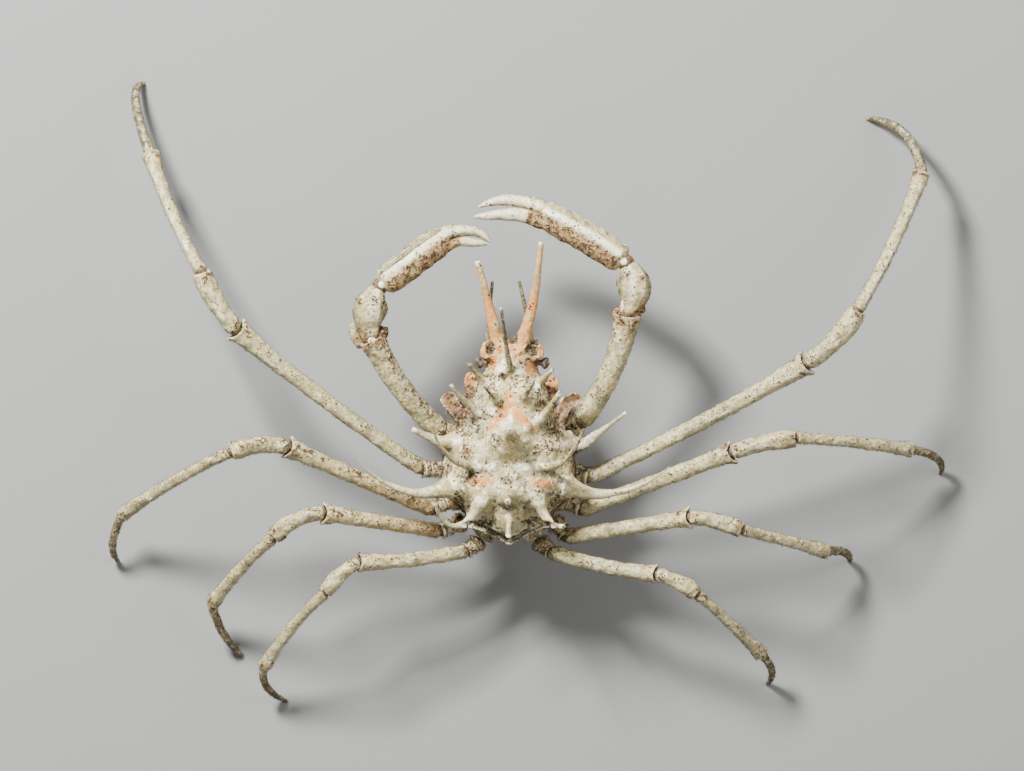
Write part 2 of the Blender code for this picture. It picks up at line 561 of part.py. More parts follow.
def build_fingers(name, palm, pose, palm_end, along, finish):
    """The thumb is fused to the palm; the movable finger is its own node just off the palm's end face."""
    root_z, end_z = CHELIPED_HEIGHTS["palm_end"], CHELIPED_HEIGHTS["finger_end"]
    width = CHELIPED_WIDTHS["finger"]
    thumb_width = pose["thumb_width"]
    levels = (root_z, 0.5 * (root_z + end_z), end_z)
    thumb = [(x, y, z) for (x, y), z in zip(pose["thumb"], levels)]
    inside = np.array(thumb[0]) - 2.0 * along
    path = smooth_path([inside, *thumb], 3)
    t = np.linspace(0, 1, len(path))
    widths = thumb_width * np.interp(t, (0, 0.3, 0.6, 0.85, 1), (1.3, 1.15, 0.95, 0.72, 0.34))
    fuse(palm, [make("thumb", tube(rings(path, widths, widths * 1.15, 8)))])
    stations = np.array((0, 0.15, 0.35, 0.55, 0.75, 0.9, 1))
    root, middle, end = [np.array((x, y, z)) for (x, y), z in zip(pose["finger"], levels)]
    path, leaving, _ = arc(root, middle, end, stations)
    widths = np.array((1.1, 1.05, 0.95, 0.88, 0.74, 0.5, 0.26)) * width
    stack = rings(path, widths, widths * 1.15, 8)
    mitre(stack, 0, palm_end, leaving, along, GAP / 2)
    make(f"{name}_finger", tube(stack), finish)


def build_eye(side, finish):
    """A short stalk that ends in a globe, pointing sideways out of the orbit."""
    start, end = EYE_REACH[side]
    t = np.array((0, 0.14, 0.26, 0.4, 0.56, 0.72, 0.87, 1.0))
    widths = EYE_WIDTH * np.array((0.6, 0.58, 0.74, 0.95, 1.0, 0.9, 0.66, 0.24))
    path = [(start + (end - start) * step, EYE_Y, EYE_Z) for step in t]
    make(f"eye_{side}", tube(rings(path, widths, widths, 12)), finish)


def build_antenna(side, finish):
    path = smooth_path(ANTENNAE[side], 4)
    widths = np.linspace(*ANTENNA_WIDTHS, len(path))
    make(f"antenna_{side}", tube(rings(path, widths, widths, 8)), finish)


def build_mouthpart(side, finish):
    """One of the two plates that close the mouth, its rear and front outer corners drawn in."""
    sign = 1 if side == "right" else -1
    (inner, outer), (rear, front) = MOUTHPART["x"], MOUTHPART["y"]
    plan = ((inner, rear), (outer - 0.8, rear), (outer, rear + 1.8), (outer, front - 1.6), (outer - 1.2, front),
            (inner, front))
    make(f"maxilliped_{side}", plate([(sign * x, y) for x, y in plan], MOUTHPART["z"], MOUTHPART_BEVEL), finish)


def build_pleon(finish):
    """The tail, a plate in segments along the thorax's floor that turns up behind it."""
    level = THORAX_Z[0] - GAP - PLEON_THICKNESS / 2
    axis = ((0, PLEON_FRONT_Y, level), (0, 12.0, level), (0, PLEON_REAR_Y + 1.0, level),
            (0, PLEON_REAR_Y - 0.1, level + 1.3), (0, PLEON_REAR_Y, THORAX_Z[1]))
    curve = smooth_path(axis, 12)
    length = np.concatenate([[0], np.cumsum(np.linalg.norm(np.diff(curve, axis=0), axis=1))])
    t = np.linspace(0, 1, 4 * PLEON_SEGMENTS + 1)
    path = np.column_stack([np.interp(t * length[-1], length, curve[:, k]) for k in range(3)])
    seam = np.cos(math.pi * PLEON_SEGMENTS * t) ** 8
    widths = np.interp(t, (0, 0.12, 0.5, 1), (PLEON_WIDTHS[0] * 0.6, *PLEON_WIDTHS)) * (1 - PLEON_SEAMS[0] * seam)
    depths = PLEON_THICKNESS * (1 - PLEON_SEAMS[1] * seam)
    make("pleon", tube(rings(path, widths, depths, 8)), finish)


def main():
    clear_scene()
    shell = material("shell", SHELL_WHITE, 0.6)
    limbs = material("limbs", LEG_CREAM, 0.6)
    under = material("underside", BROWN, 0.7)
    eyes = material("eyes", EYE_DARK, 0.15)
    build_carapace(shell)
    build_thorax(under)
    build_pleon(under)
    for side in ("left", "right"):
        build_eye(side, eyes)
        build_antenna(side, limbs)
        build_mouthpart(side, under)
        build_cheliped(side, CHELIPED_POSES[side], limbs)
    for (side, number), pose in LEG_POSES.items():
        build_leg(side, number, pose, LEG_WIDTHS[number], limbs)


main()
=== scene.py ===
"""A still, life-size spider crab with long shell spines, standing on the tips of its spread walking legs.

Lengths in the shapes are millimetres. Plan places (X, Y) are measured from the rear point of the carapace:
the crab faces +Y, its left legs are at -X and the floor is z = 0. PLAN_SHIFT then moves the origin under the
middle of the whole model, and MM turns millimetres into metres.
"""

import math

import bpy
import numpy as np
from bpy.props import FloatProperty, FloatVectorProperty, IntProperty, PointerProperty
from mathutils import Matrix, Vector


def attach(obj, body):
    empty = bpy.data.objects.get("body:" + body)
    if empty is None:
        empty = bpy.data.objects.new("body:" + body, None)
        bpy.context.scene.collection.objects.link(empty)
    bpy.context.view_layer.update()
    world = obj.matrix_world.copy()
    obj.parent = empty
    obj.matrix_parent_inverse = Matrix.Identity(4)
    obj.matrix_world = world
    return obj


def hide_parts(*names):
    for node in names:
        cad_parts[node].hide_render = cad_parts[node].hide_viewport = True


bl_info = {
    "name": "Long-spined spider crab",
    "version": (1, 0, 0),
    "blender": (4, 5, 0),
    "location": "3D View > Sidebar > Spider crab",
    "description": "Builds the shell plates, eyes, joint skins and bristles of a standing spider crab",
    "category": "Mesh",
}

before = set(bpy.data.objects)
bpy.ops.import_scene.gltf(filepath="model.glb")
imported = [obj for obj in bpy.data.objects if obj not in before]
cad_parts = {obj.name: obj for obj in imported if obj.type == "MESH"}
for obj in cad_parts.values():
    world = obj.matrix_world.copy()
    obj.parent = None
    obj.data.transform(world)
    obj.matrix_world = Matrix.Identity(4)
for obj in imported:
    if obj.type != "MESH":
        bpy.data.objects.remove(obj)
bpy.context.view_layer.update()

MM = 0.001
PLAN_SHIFT = (-3.635, -31.084)

# Carapace: front and rear ends, the heights of its underside and of its widest line, its lean, and where
# its rear starts to bend into a V.
FRONT_Y = 41.8
REAR_CORNER_Y = 4.2
REAR_HALF_WIDTH = 8.5
REAR_POINT_DROP = 3.9
UNDERSIDE_Z = 17.5
RIM_Z = 20.8
LEAN_FROM_Y = 20
LEAN = 0.03
REAR_BEND_Y = 9
# How far the spines' axes run on into the shell, and the steps between two points of an axis.
SPINE_SINK = 1.6
SPINE_STEPS = 24
# Rounds of averaging that reach about 1 mm and about 3 mm over the shell's skin.
NEAR_ROUNDS = 12
FAR_ROUNDS = 130

# Half width and crown height of the carapace at places along its midline.
STATION_Y = (41.8, 40.6, 39.2, 37.8, 36.6, 35.2, 33.4, 31.4, 29, 26.4, 23.6, 21, 18.4, 15.8, 13.2,
             11.2, 9.6, 8.2, 6.6, 4.2)
HALF_WIDTH = (4.6, 5.9, 6.2, 5.5, 5.25, 5.7, 7.2, 8.3, 8.8, 9.6, 10.7, 11.9, 12.9, 13.3, 13.1,
              12.4, 11.1, 9.5, 8.7, 8.4)
CROWN_Z = (23.4, 23.9, 24.2, 24.5, 24.8, 25.3, 26.1, 27, 28.1, 28.9, 29.4, 29.3, 28.5, 27.9, 28.3,
           28.6, 28.3, 27.6, 26.5, 22.6)


def both(x, *rest):
    """A row of a table and the same row mirrored to the left side."""
    return (x, *rest), (-x, *rest)


def named(names, rows):
    """A table whose rows are read by name."""
    return {key: dict(zip(names.split(), row)) for key, row in rows.items()}


# Rounded swellings and dips of the shell: X, Y, reach along X and along Y, height.
SWELLINGS = (
    *both(7.6, 13.6, 3.2, 4.2, 1.5), *both(4, 29.2, 2.2, 2.6, 0.8), *both(7.4, 22.6, 1.8, 1.6, -0.9),
    *both(4.6, 6.6, 1.6, 2, -0.8), *both(2.9, 7.4, 0.9, 1.6, -0.5), (0, 17, 5, 1.3, -1),
    (0, 10, 2.4, 3, 0.9), (3.3, 16, 1.1, 0.9, 0.7), (-3.4, 16.1, 1.1, 0.9, 0.8), (7.2, 15.3, 2.2, 1, -0.9),
    (-7.2, 15.2, 1.9, 1, -0.8), (3.9, 24.2, 0.8, 0.8, 0.35), (-1.3, 34.3, 0.9, 0.9, -0.7),
    (6.4, 28.8, 1.3, 0.9, -0.5), (-5.6, 29.4, 1, 1.4, -0.5),
)
# Spines of the shell: the axis as plan places with the height above the shell at the root, the width at root
# and at tip, how far the root flares beyond that, and the colour mark that the spine carries.
SPINES = {
    "rostral_left": (((-2, 40.4, -1.4), (-3.5, 46, 0), (-4.7, 51.4, 1.2), (-6.3, 57.4, 2.8)),
        2.9, 1.35, 0.5, "peach"),
    "rostral_right": (((2.5, 39.8, -1.4), (4, 45.6, 0), (5.2, 51.4, 1.4), (6.5, 61.2, 3.8)),
        3.1, 1.25, 0.5, "peach"),
    "frontal": (((0.4, 35.4, 0), (-0.3, 39, 3), (-1, 43.6, 6.2), (-1.6, 48.2, 9)),
        1.35, 0.85, 0.35, "horn"),
    "gastric_left": (((-2.1, 29.3, 0), (-3.5, 30.6, 3), (-4.9, 32.2, 6.6)), 1.35, 0.6, 0.8, "horn"),
    "gastric_right": (((2.7, 29.7, 0), (3.9, 31.4, 3), (5.2, 33.6, 6.6)), 1.35, 0.6, 0.8, "horn"),
    "orbital_left": (((-5.2, 33.3, 0), (-6.6, 35.1, 2), (-8.1, 37, 4.6)), 1.35, 0.9, 0.7, "beige"),
    "orbital_right": (((6, 33.1, 0), (7.4, 34.4, 2), (8.8, 35.7, 4.6)), 1.4, 0.9, 0.7, "beige"),
    "hepatic_left": (((-6, 26.9, 0), (-8.9, 29.6, 2.4), (-11.7, 32.7, 4.8)), 1.7, 0.95, 0.9, "beige"),
    "hepatic_right": (((6.2, 25.8, 0), (8.3, 28.5, 2.4), (10.3, 31.2, 4.8)), 1.6, 1.2, 0.8, "beige"),
    "mesogastric": (((0.3, 22.4, 0), (0.3, 23, 5), (0.2, 23.6, 13)), 2, 1.3, 1, "beige"),
    "lateral_left": (((-11, 21.4, -0.6), (-13.8, 21.4, 0.2), (-19.4, 23.8, 2.4)), 3, 1.2, 1.2, "bone"),
    "lateral_right": (((11.8, 21.2, -0.4), (15.2, 21.2, 0.4), (23.5, 27.2, 3.2)), 3, 0.85, 1.2, "bone"),
    "branchial_left": (((-6.9, 16.5, 0), (-10.6, 17.4, 3.6), (-13.8, 20.6, 7), (-15.2, 24.2, 9.6)),
        2.1, 0.7, 1.1, "beige"),
    "branchial_right": (((7, 16.1, 0), (10.7, 17.4, 3.6), (13.5, 20.8, 7), (14.8, 24, 9.6)),
        2.1, 0.7, 1.1, "beige"),
    "long_left": (((-12, 12.2, 0), (-18, 11, 1.2), (-24.8, 13.2, 3), (-31, 17.9, 5.2)),
        3.2, 0.5, 1.6, "bone"),
    "long_right": (((11.9, 12.3, 0), (18.4, 10.8, 1.2), (26.6, 12.7, 3.2), (32.3, 16.4, 5.2)),
        3.2, 0.5, 1.6, "bone"),
    "posterior_left": (((-5.9, 8.9, 0), (-8.6, 5.1, 0.4), (-12.3, 4.9, 1.8), (-14.9, 9.1, 4.6)),
        2.3, 0.8, 1, "bone"),
    "posterior_right": (((6, 8.9, 0), (7.4, 6.2, 0.4), (9.2, 4.6, 2.2), (10.8, 4.4, 5.8)),
        2.2, 1.1, 0.9, "bone"),
    "cardiac": (((-0.2, 10, 0), (-0.3, 9.6, 5), (-0.3, 9.4, 11)), 2, 1.3, 1.1, "beige"),
    "intestinal": (((0, 6.2, 0), (-0.1, 3.8, 2.4), (-0.1, 1.9, 5)), 1.9, 1.3, 0.15, "bone"),
}

# Flat lobes of the shell's front edge: axis from root to end, widths at these shares, thickness, colour mark.
LOBE_SHARES = (0, 0.2, 0.4, 0.6, 0.8, 0.93, 1)
LOBES = {
    "eave_left": (((-2.8, 38.4, 23), (-4.3, 39.4, 23.3), (-5.2, 40.4, 23.6)),
        (2.6, 3, 3.3, 3.3, 3, 2.3, 1.5), 1.6, "peach"),
    "eave_right": (((4, 38.2, 23), (5.3, 39.2, 23.3), (6.3, 40.2, 23.6)),
        (2.8, 3.2, 3.6, 3.8, 3.4, 2.6, 1.7), 1.6, "peach"),
    "postorbital_left": (((-7.2, 29.8, 21.6), (-7.7, 31.6, 22.2), (-7.8, 33.4, 22.7), (-7.6, 35.1, 22.9)),
        (2.6, 2.6, 2.3, 2.5, 2.4, 2, 1.2), 1.4, "peach"),
    "postorbital_right": (((8.1, 29.8, 21.6), (8.6, 31.4, 22.2), (8.7, 33, 22.7), (8.5, 34.5, 22.9)),
        (2.6, 2.6, 2.3, 2.5, 2.3, 1.9, 1.2), 1.4, "peach"),
    "hepatic_plate_left": (((-8.6, 24.6, 21.4), (-9.8, 26.8, 22), (-11.4, 28.8, 22.6), (-12.8, 30.9, 23)),
        (3.4, 3.2, 2.9, 3.2, 3.5, 3.1, 1.9), 1.5, "rust"),
    "hepatic_plate_right": (((9.4, 24.2, 21.4), (10.4, 26.8, 22), (11.8, 29.1, 22.6), (14.3, 30.2, 23)),
        (3.4, 3.2, 2.8, 2.9, 3.1, 2.7, 1.8), 1.5, "rust"),
}
# Cups in the brow lobes: middle, half width and half length of the hollow, and depth.
BROW_CUPS = ((-3.65, 40, 0.85, 1.35, 0.85), (4.6, 39.7, 1.2, 1.6, 0.9))
# Finer relief of the back, pressed into the finished skin: X, Y, reach along X and Y, height.
RELIEF = (
    *both(8.2, 14.6, 3.4, 3, 0.7), *both(11, 12, 2, 2.4, 0.7), *both(11, 21.1, 2.2, 2, 0.7),
    *both(5.4, 9.7, 2.2, 2.4, 0.7), *both(2.7, 9, 1.4, 2.5, -0.5), *both(4.8, 19.6, 1.6, 1.4, -0.4),
    *both(5.3, 23, 1.4, 1.8, -0.5), *both(8.1, 15.3, 2.1, 0.9, -0.65), *both(4.6, 31.7, 0.9, 1.2, -0.5),
    *both(4.6, 26.1, 1, 1.2, -0.5), *both(9.3, 8.9, 1.3, 1.7, -0.7), *both(4.3, 5.2, 1.9, 1.1, -0.6),
    (0.3, 22.6, 3.4, 3.2, 1), (-0.3, 10, 3.2, 3, 0.9), (-2.3, 29.4, 1.7, 1.7, 0.6),
    (2.9, 29.8, 1.7, 1.7, 0.6), (-6.2, 27, 1.7, 1.7, 0.6), (6.4, 26, 1.7, 1.7, 0.6),
    (0, 4.9, 1.6, 2.2, 1.3), (-3.7, 16.3, 1.2, 0.8, 0.6), (3.8, 16, 1.1, 1.1, 0.6),
    (3.9, 24.2, 0.8, 0.8, 0.4), (0.2, 34.6, 1.7, 1.6, 0.5), (0, 18.4, 6.5, 1.3, -0.4),
    (0.2, 32.4, 1, 1.6, -0.45), (-7.4, 25.4, 1.4, 2.2, -0.6), (8.2, 24.2, 1.8, 1.8, -0.6),
    (-1.1, 34.4, 0.7, 0.6, -0.8), (6.7, 28.7, 1.1, 0.7, -0.6), (-3.2, 34.4, 2.2, 0.5, -0.35),
    (2.6, 34.2, 2, 0.5, -0.25),
)
# Stained, pitted places of the back: X, Y, reach along X and Y, strength.
STAINS = (
    (-1.1, 34.4, 1, 0.9, 1.2), (6.5, 28.7, 1.3, 0.9, 1.2), (-3.1, 34.4, 2.4, 0.7, 1.1),
    (2.4, 34, 2.4, 0.6, 0.9), (-3.6, 32, 0.9, 2.2, 1), (4.4, 31.4, 0.9, 2, 1), (-2, 29.6, 0.9, 1.4, 0.8),
    # The row at (0.6, 21.9) is the brown patch under the mesogastric spine's tip: dirt and the spine's
    # painted shadow.
    (-7.6, 14.2, 2, 1.3, 1.1), (0.6, 21.9, 0.9, 0.7, 0.9), (-0.2, 8.6, 1.2, 1, 0.8),
    (-2.7, 21.8, 1.2, 1.3, 1.1), (-8.6, 19.4, 1.5, 1.8, 0.9), (-4.4, 16.6, 0.6, 0.5, 1.2),
    (-0.6, 13.7, 0.9, 0.9, 1.2), (1.2, 14.2, 1.2, 0.9, 0.9), (8.2, 20.4, 2.4, 1.4, 0.75),
    (-8.7, 22.6, 1.2, 1.6, 0.7), (9.2, 24.8, 2.2, 3, 0.95), (-9.8, 26.2, 1.8, 3.4, 1),
    (-5.6, 5.2, 3, 1, 0.8), (5.4, 5.4, 3, 1, 0.85), (6.6, 33, 1, 1.6, 0.8), (-8, 30.4, 1.6, 3, 1),
    (8.8, 30, 1.6, 2.6, 0.9), (9.8, 9, 1.8, 2.8, 0.9), (-9.8, 9, 1.6, 2.8, 0.9),
    (-12.6, 17.4, 1.2, 2.4, 0.8), (12.8, 17.4, 1.2, 2.4, 0.8), (6.4, 11.2, 1.8, 1.2, 0.7),
    (3.2, 12.4, 0.9, 1.2, 0.6), (-2.4, 26.7, 0.9, 0.8, 0.7), (5.4, 18.6, 0.9, 0.9, 0.9),
    (-6.4, 24.8, 1.4, 2.4, 0.6), (6.2, 31, 1.2, 1.6, 0.7), (2.6, 36.8, 1.4, 0.8, 0.6),
)
# Olive shade in the hollows of the back: X, Y, reach along X and Y, strength.
SHADES = (
    (-0.1, 8.6, 2.6, 1.9, 1), (0.6, 21.9, 0.8, 0.6, 0.9), (7.6, 15, 2.4, 0.8, 1),
    (-7.4, 14.9, 2.2, 0.8, 0.8), (3.6, 8.8, 2, 2.6, 0.65), (-2.7, 10.2, 1.2, 1.8, 0.6),
    (4.8, 5.5, 2.4, 0.9, 0.8), (-4.6, 5.4, 2.4, 0.9, 0.8), (-7.2, 25.4, 1.7, 2.8, 0.85),
    (8.2, 24.4, 2.4, 2.4, 0.8), (0.3, 34.2, 1, 0.8, 0.7), (-3, 29.2, 1, 1.2, 0.5),
    (4.4, 30.2, 1.4, 1.2, 0.6), (-9.4, 8.8, 1.7, 1.6, 0.9), (9.2, 9.2, 1.6, 1.9, 0.8),
    (1.8, 22.2, 1.4, 0.9, 0.5), (-5.2, 31.4, 1.2, 1.6, 0.5), (6.4, 30.8, 1.2, 1.6, 0.5),
    (3.7, 31, 0.6, 1.6, 0.9), (-2.6, 30.4, 0.6, 1.4, 0.8),
)
# Bosses of the back painted bright as highlight: X, Y, reach along X and Y, strength.
BRIGHTS = (
    (-3.7, 16.3, 1.3, 0.9, 1), (3.9, 16, 1.2, 1, 1), (-10.3, 29.5, 1.1, 0.8, 0.9),
    (11.4, 29.8, 1.1, 0.7, 0.9), (-6.4, 25.4, 1.5, 1.3, 0.8), (5.2, 25.6, 1.5, 1.6, 0.9),
    (-5.2, 19.8, 1.4, 1.6, 0.7), (-4.9, 33, 0.9, 1, 0.9), (5.6, 32.2, 1, 1.3, 0.9),
    (2, 35.8, 1.6, 1.1, 0.9), (-1.8, 35.9, 1.6, 0.9, 0.7), (-9.8, 21.4, 1.2, 0.8, 0.8),
    (10.8, 20.6, 1.4, 0.9, 0.8), (-5.2, 9.4, 1.1, 1.2, 0.8), (5, 10.6, 1, 1, 0.8),
    (0.1, 4.6, 0.9, 1.2, 0.8), (0.2, 25.8, 0.6, 1.3, 0.9), (-11.6, 12.2, 1.6, 1, 0.8),
    (11.8, 12.6, 1.6, 1, 0.8), (-3.4, 27.6, 1, 1.2, 0.7),
)
# Peach patches of the back: X, Y, reach along X and Y, and strength.
PEACH_PATCHES = (
    (-5.1, 39.8, 1.3, 2, 0.8), (6.3, 39.4, 1.3, 2.2, 0.8), (-2.6, 41, 2.6, 2.6, 1), (3, 41, 2.8, 2.8, 1),
    (0.6, 39.4, 3, 1.8, 0.6), (-3.6, 37.4, 1.4, 2, 0.8), (4.6, 36.8, 1.5, 2.4, 0.9),
    (2.4, 37.6, 1.8, 1.2, 0.5), (0, 30.3, 0.9, 1.5, 0.9), (0.2, 28.6, 1.3, 1.1, 1),
    (-0.9, 27.5, 1.2, 1.2, 1), (-1.8, 26.1, 1.2, 1.2, 1), (-2.8, 24.8, 1.2, 0.9, 1),
    (-4.2, 23.7, 0.8, 0.6, 0.7), (1.4, 27.3, 1.2, 1.2, 1), (2.4, 25.9, 1.2, 1.2, 1),
    (3.7, 24.8, 1.3, 0.9, 1), (5, 23.8, 0.9, 0.6, 0.7), (-6.4, 13.3, 2.1, 1.2, 1), (-4, 13.5, 1, 0.8, 0.9),
    (6.9, 13, 2.1, 1.1, 1), (4.7, 13.5, 1.1, 0.8, 0.9), (-8.4, 20.4, 1.2, 2, 0.5),
    (8.4, 21.4, 1.8, 1.2, 0.45), (0.2, 33, 0.9, 1.4, 0.5),
)
# Brown hollows of the back: X, Y, half width, half length, strength.
PITS = (
    (-1, 34.3, 0.75, 0.5, 1), (6.8, 28.7, 1.1, 0.7, 0.95), (7.8, 32.2, 0.55, 0.4, 1),
    (-1.9, 39.8, 0.4, 0.9, 0.5), (2.6, 38.9, 0.9, 0.4, 0.55), (4.2, 37.8, 0.4, 0.7, 0.6),
    # The row at (0.7, 22) is the brown patch under the mesogastric spine's tip: dirt and the spine's painted
    # shadow.
    (0.7, 22, 0.7, 0.5, 0.8), (-7.8, 14, 1, 0.7, 0.6), (-8.8, 18.9, 0.8, 1.2, 0.5),
    (0.2, 35, 0.5, 0.5, 0.5),
)
# Thorax under the shell: plan corners of the right half from front to rear, and its floor and roof.
THORAX_CORNERS = (
    (3.4, 27.2), (5.4, 25.8), (8.2, 18.6), (9, 12), (8.7, 7.9), (7.2, 3.4), (3.5, 0.9), (2.8, 2.7),
)
THORAX_Z = (12.2, 17.2)
COXA_Z = 14.8
LIMB_FACES = {"cheliped": 1, "leg_1": 2, "leg_2": 3, "leg_3": 4, "leg_4": 5}

# Walking legs: plan places of the joints, a point half way along the claw, the claw's tip, the heights of
# knee, wrist and ankle, and how far each middle part bows toward the front.
LEG_POSES = named("hip knee wrist ankle bend tip heights bows", {
    ("left", 1): ((-17.4, 15.8), (-54.4, 43.6), (-61.4, 55.2), (-71.9, 79.1), (-75, 89.6), (-73.4, 93.2),
        (28, 28.5, 10.5), (-0.6, -0.5, -0.7)),
    ("left", 2): ((-15.4, 7.6), (-44.2, 20.2), (-55.6, 19.2), (-77.6, 6.6), (-79.6, 0.6), (-78.6, -2.8),
        (26.5, 27, 9.5), (0, 0.9, 0.6)),
    ("left", 3): ((-13.8, 3.4), (-37.2, 7), (-47.2, 2), (-59.6, -11.2), (-57.5, -17.1), (-53.6, -22),
        (24.5, 24.5, 8), (0, 1.2, 0.5)),
    ("left", 4): ((-8.6, -0.6), (-30.2, -2.8), (-36.8, -9), (-49.2, -24), (-48.6, -28.1), (-44.8, -31),
        (22.5, 22, 8.5), (-0.6, 0.6, 0.7)),
    ("right", 1): ((16.2, 14.2), (59.4, 37), (69.6, 47.6), (82.8, 75.2), (79.2, 83.2), (72, 86.2),
        (26.5, 27, 10.5), (-0.7, -0.9, -0.75)),
    ("right", 2): ((14.6, 7.6), (44.6, 19.2), (57.4, 22), (80.8, 19.6), (86, 17.8), (86.8, 14.8),
        (26, 26.5, 10.5), (0, 0.5, 0.3)),
    ("right", 3): ((11.4, 2.2), (36.2, 6.2), (46.6, 3.6), (63.8, -0.8), (67.4, -1), (68.6, -3),
        (24.5, 24.5, 10), (0, 0.5, 0.1)),
    ("right", 4): ((8.4, -0.8), (29.6, -5.2), (37.6, -9.2), (50.8, -21.6), (52.8, -24.8), (52, -27.6),
        (22.5, 22, 9), (-0.6, 0.5, 0.3)),
})
LEG_WIDTHS = named("root merus knee carpus propodus ankle claw", {
    1: (2.9, 3, 5.2, 4.1, 2.45, 3.2, 2),
    2: (2.7, 3, 4.7, 3.7, 2.2, 2.8, 1.6),
    3: (2.6, 2.9, 4.4, 3.4, 2.25, 2.9, 1.7),
    4: (2.5, 2.85, 3.7, 3.2, 2.1, 2.75, 1.5),
})
# Of each side's legs from first to last: how orange the merus is near the body, and how stained the back is.
LEG_TINTS = {
    "left": ((0.1, 0.35), (0.7, 0.9), (0.75, 0.6), (0.2, 0.4)),
    "right": ((0.1, 0.25), (0.25, 0.45), (0.25, 0.35), (0.3, 0.4)),
}
HIP_Z = 15.6
TIP_WIDTH = 0.6
# Widths of the walking legs' joint skins, as shares of the width of the part beyond each joint.
LEG_SKINS = {"merus": 0.8, "carpus": 0.66, "propodus": 0.86, "claw": 0.84}

# Claw-bearing legs: joints in plan, bows toward the front, the thumb's width and the fingers' axes.
CHELIPED_POSES = named("hip elbow wrist palm_end bows thumb_width finger thumb", {
    "left": ((-13.2, 22.9), (-27.5, 42.2), (-25.8, 52.3), (-12.4, 62.4), (-1.3, 1.2, 0.1), 1.6,
        ((-12.8, 63.4), (-7.6, 63.5), (-3.9, 61.2)), ((-11.5, 61.3), (-7.4, 61), (-4, 60.8))),
    "right": ((14, 25.2), (23.6, 47), (23.4, 57), (6.4, 67), (-1.8, 1.5, 0.4), 2.1,
        ((6.4, 68.3), (0.2, 69.6), (-6, 68.2)), ((5.2, 66.2), (-0.8, 66.6), (-7, 66.2))),
})
CHELIPED_HEIGHTS = dict(hip=15.4, elbow=22.5, wrist=23.5, palm_end=21.5, finger_end=20.5)
CHELIPED_WIDTHS = dict(root=3.8, merus=4.4, carpus=6.2, palm=6.3, palm_depth=4.6, finger=2.2)
# Lumps round the elbows: middle, radii and the marks that each one carries.
CRUSTED = {"peach": 0.9, "stain": 0.95, "dark": 0.15}
WORN = {"bone": 0.75, "stain": 0.3}
ELBOW_KNOBS = {
    "left": ((-25.2, 43, 22.8, (1, 1, 1.5), CRUSTED), (-28.6, 42.3, 22.8, (0.7, 0.7, 1.5), CRUSTED),
             (-27.2, 41.4, 24.2, (0.9, 0.45, 0.7), WORN)),
    "right": ((21.6, 46.6, 22.6, (1.3, 1.2, 1.7), CRUSTED), (25.9, 47.6, 22.8, (1.1, 1.1, 1.8), CRUSTED),
              (22.9, 48.4, 24, (0.55, 0.5, 1.3), WORN)),
}
# Axis of the long lump outside the left elbow.
OUTER_KNOB = ((-29.4, 40, 21.8), (-30.8, 42.4, 22.4), (-31.4, 44.8, 22.6))

# Small parts of the head and of the underside.
EYE_Y = 37.1
EYE_Z = 22.4
EYE_REACH = {"left": (-4.9, -6.9), "right": (5.9, 8.1)}
ANTENNAE = {
    "left": ((-4.4, 38.4, 18.7), (-4.1, 42.6, 18.8), (-3.9, 47.4, 20.4), (-3.3, 53.2, 22.4)),
    "right": ((4.8, 38.4, 18.7), (4.3, 42.6, 18.8), (3.4, 47.4, 20.4), (2, 53.4, 22.4)),
}
ANTENNA_WIDTHS = (1.3, 0.7)
MOUTHPART = dict(x=(0.2, 3.6), y=(27.6, 34.6), z=(13.6, 17.2))
PLEON_WIDTHS = (2.4, 4.8, 4.6)
PLEON_THICKNESS = 1.1
PLEON_FRONT_Y = 20
PLEON_REAR_Y = 1.75
PLEON_SEGMENTS = 7

# Bristles on the shell for each one per millimetre of limb.
SHELL_COAT = 260

# The picture's size in pixels, the pixel over the rear point of the carapace, and the level seen to scale.
PICTURE = (1024, 771)
AXIS_PIXEL = (509, 548)
SCALE_LEVEL = 0.018

MARKS = ("peach", "rust", "stain", "bone", "horn", "dark")


def unit(vectors):
    """Rows scaled to length one."""
    vectors = np.asarray(vectors, float)
    return vectors / np.maximum(np.linalg.norm(vectors, axis=-1, keepdims=True), 1e-12)


def ease(low, high, values):
    """0 below low and 1 above high, with the smooth step 3t^2 - 2t^3 between."""
    t = np.clip((values - low) / (high - low), 0, 1)
    return t * t * (3 - 2 * t)


def bump(values, centre, reach):
    """The bell curve exp(-((v - centre) / reach)^2)."""
    return np.exp(-(((values - centre) / reach) ** 2))


def hill(x, y, at_x, at_y, reach_x, reach_y):
    """A bell curve along X times one along Y."""
    return bump(x, at_x, reach_x) * bump(y, at_y, reach_y)


def hills(x, y, table):
    """The height at a place where the hills of a table, each with its height last, are added up."""
    return sum(height * hill(x, y, *place) for *place, height in table)


def oval(x, y, at_x, at_y, half_width, half_length):
    """0 at the middle of an oval, 1 on its edge and more outside it."""
    return np.hypot((x - at_x) / half_width, (y - at_y) / half_length)


def circle(sides):
    """A row of evenly spaced angles once round."""
    return np.arange(sides)[None, :] * 2 * np.pi / sides


def spot(x, y, ragged, *place, strength):
    """A patch with a flat middle and a ragged edge at about one reach from its middle."""
    return strength * ease(1.25, 0.7, oval(x, y, *place) + ragged)


def catmull(points, steps):
    """A Catmull-Rom curve through the points: cubics whose slopes are half the chord of the neighbours."""
    points = np.asarray(points, float)
    ends = np.vstack([2 * points[0] - points[1], points, 2 * points[-1] - points[-2]])
    a, b, c, d = ends[:-3, None], ends[1:-2, None], ends[2:-1, None], ends[3:, None]
    t = np.linspace(0, 1, steps, endpoint=False)[None, :, None]
    curve = 0.5 * (2 * b + (c - a) * t + (2 * a - 5 * b + 4 * c - d) * t**2 + (3 * b - a - 3 * c + d) * t**3)
    return np.vstack([curve.reshape(-1, points.shape[1]), points[-1:]])


def read_table(at, places, values):
    """A smooth curve through a table of values, read at any places."""
    curve = catmull(np.column_stack([places, values]), 8)
    order = np.argsort(curve[:, 0])
    return np.interp(at, curve[order, 0], curve[order, 1])


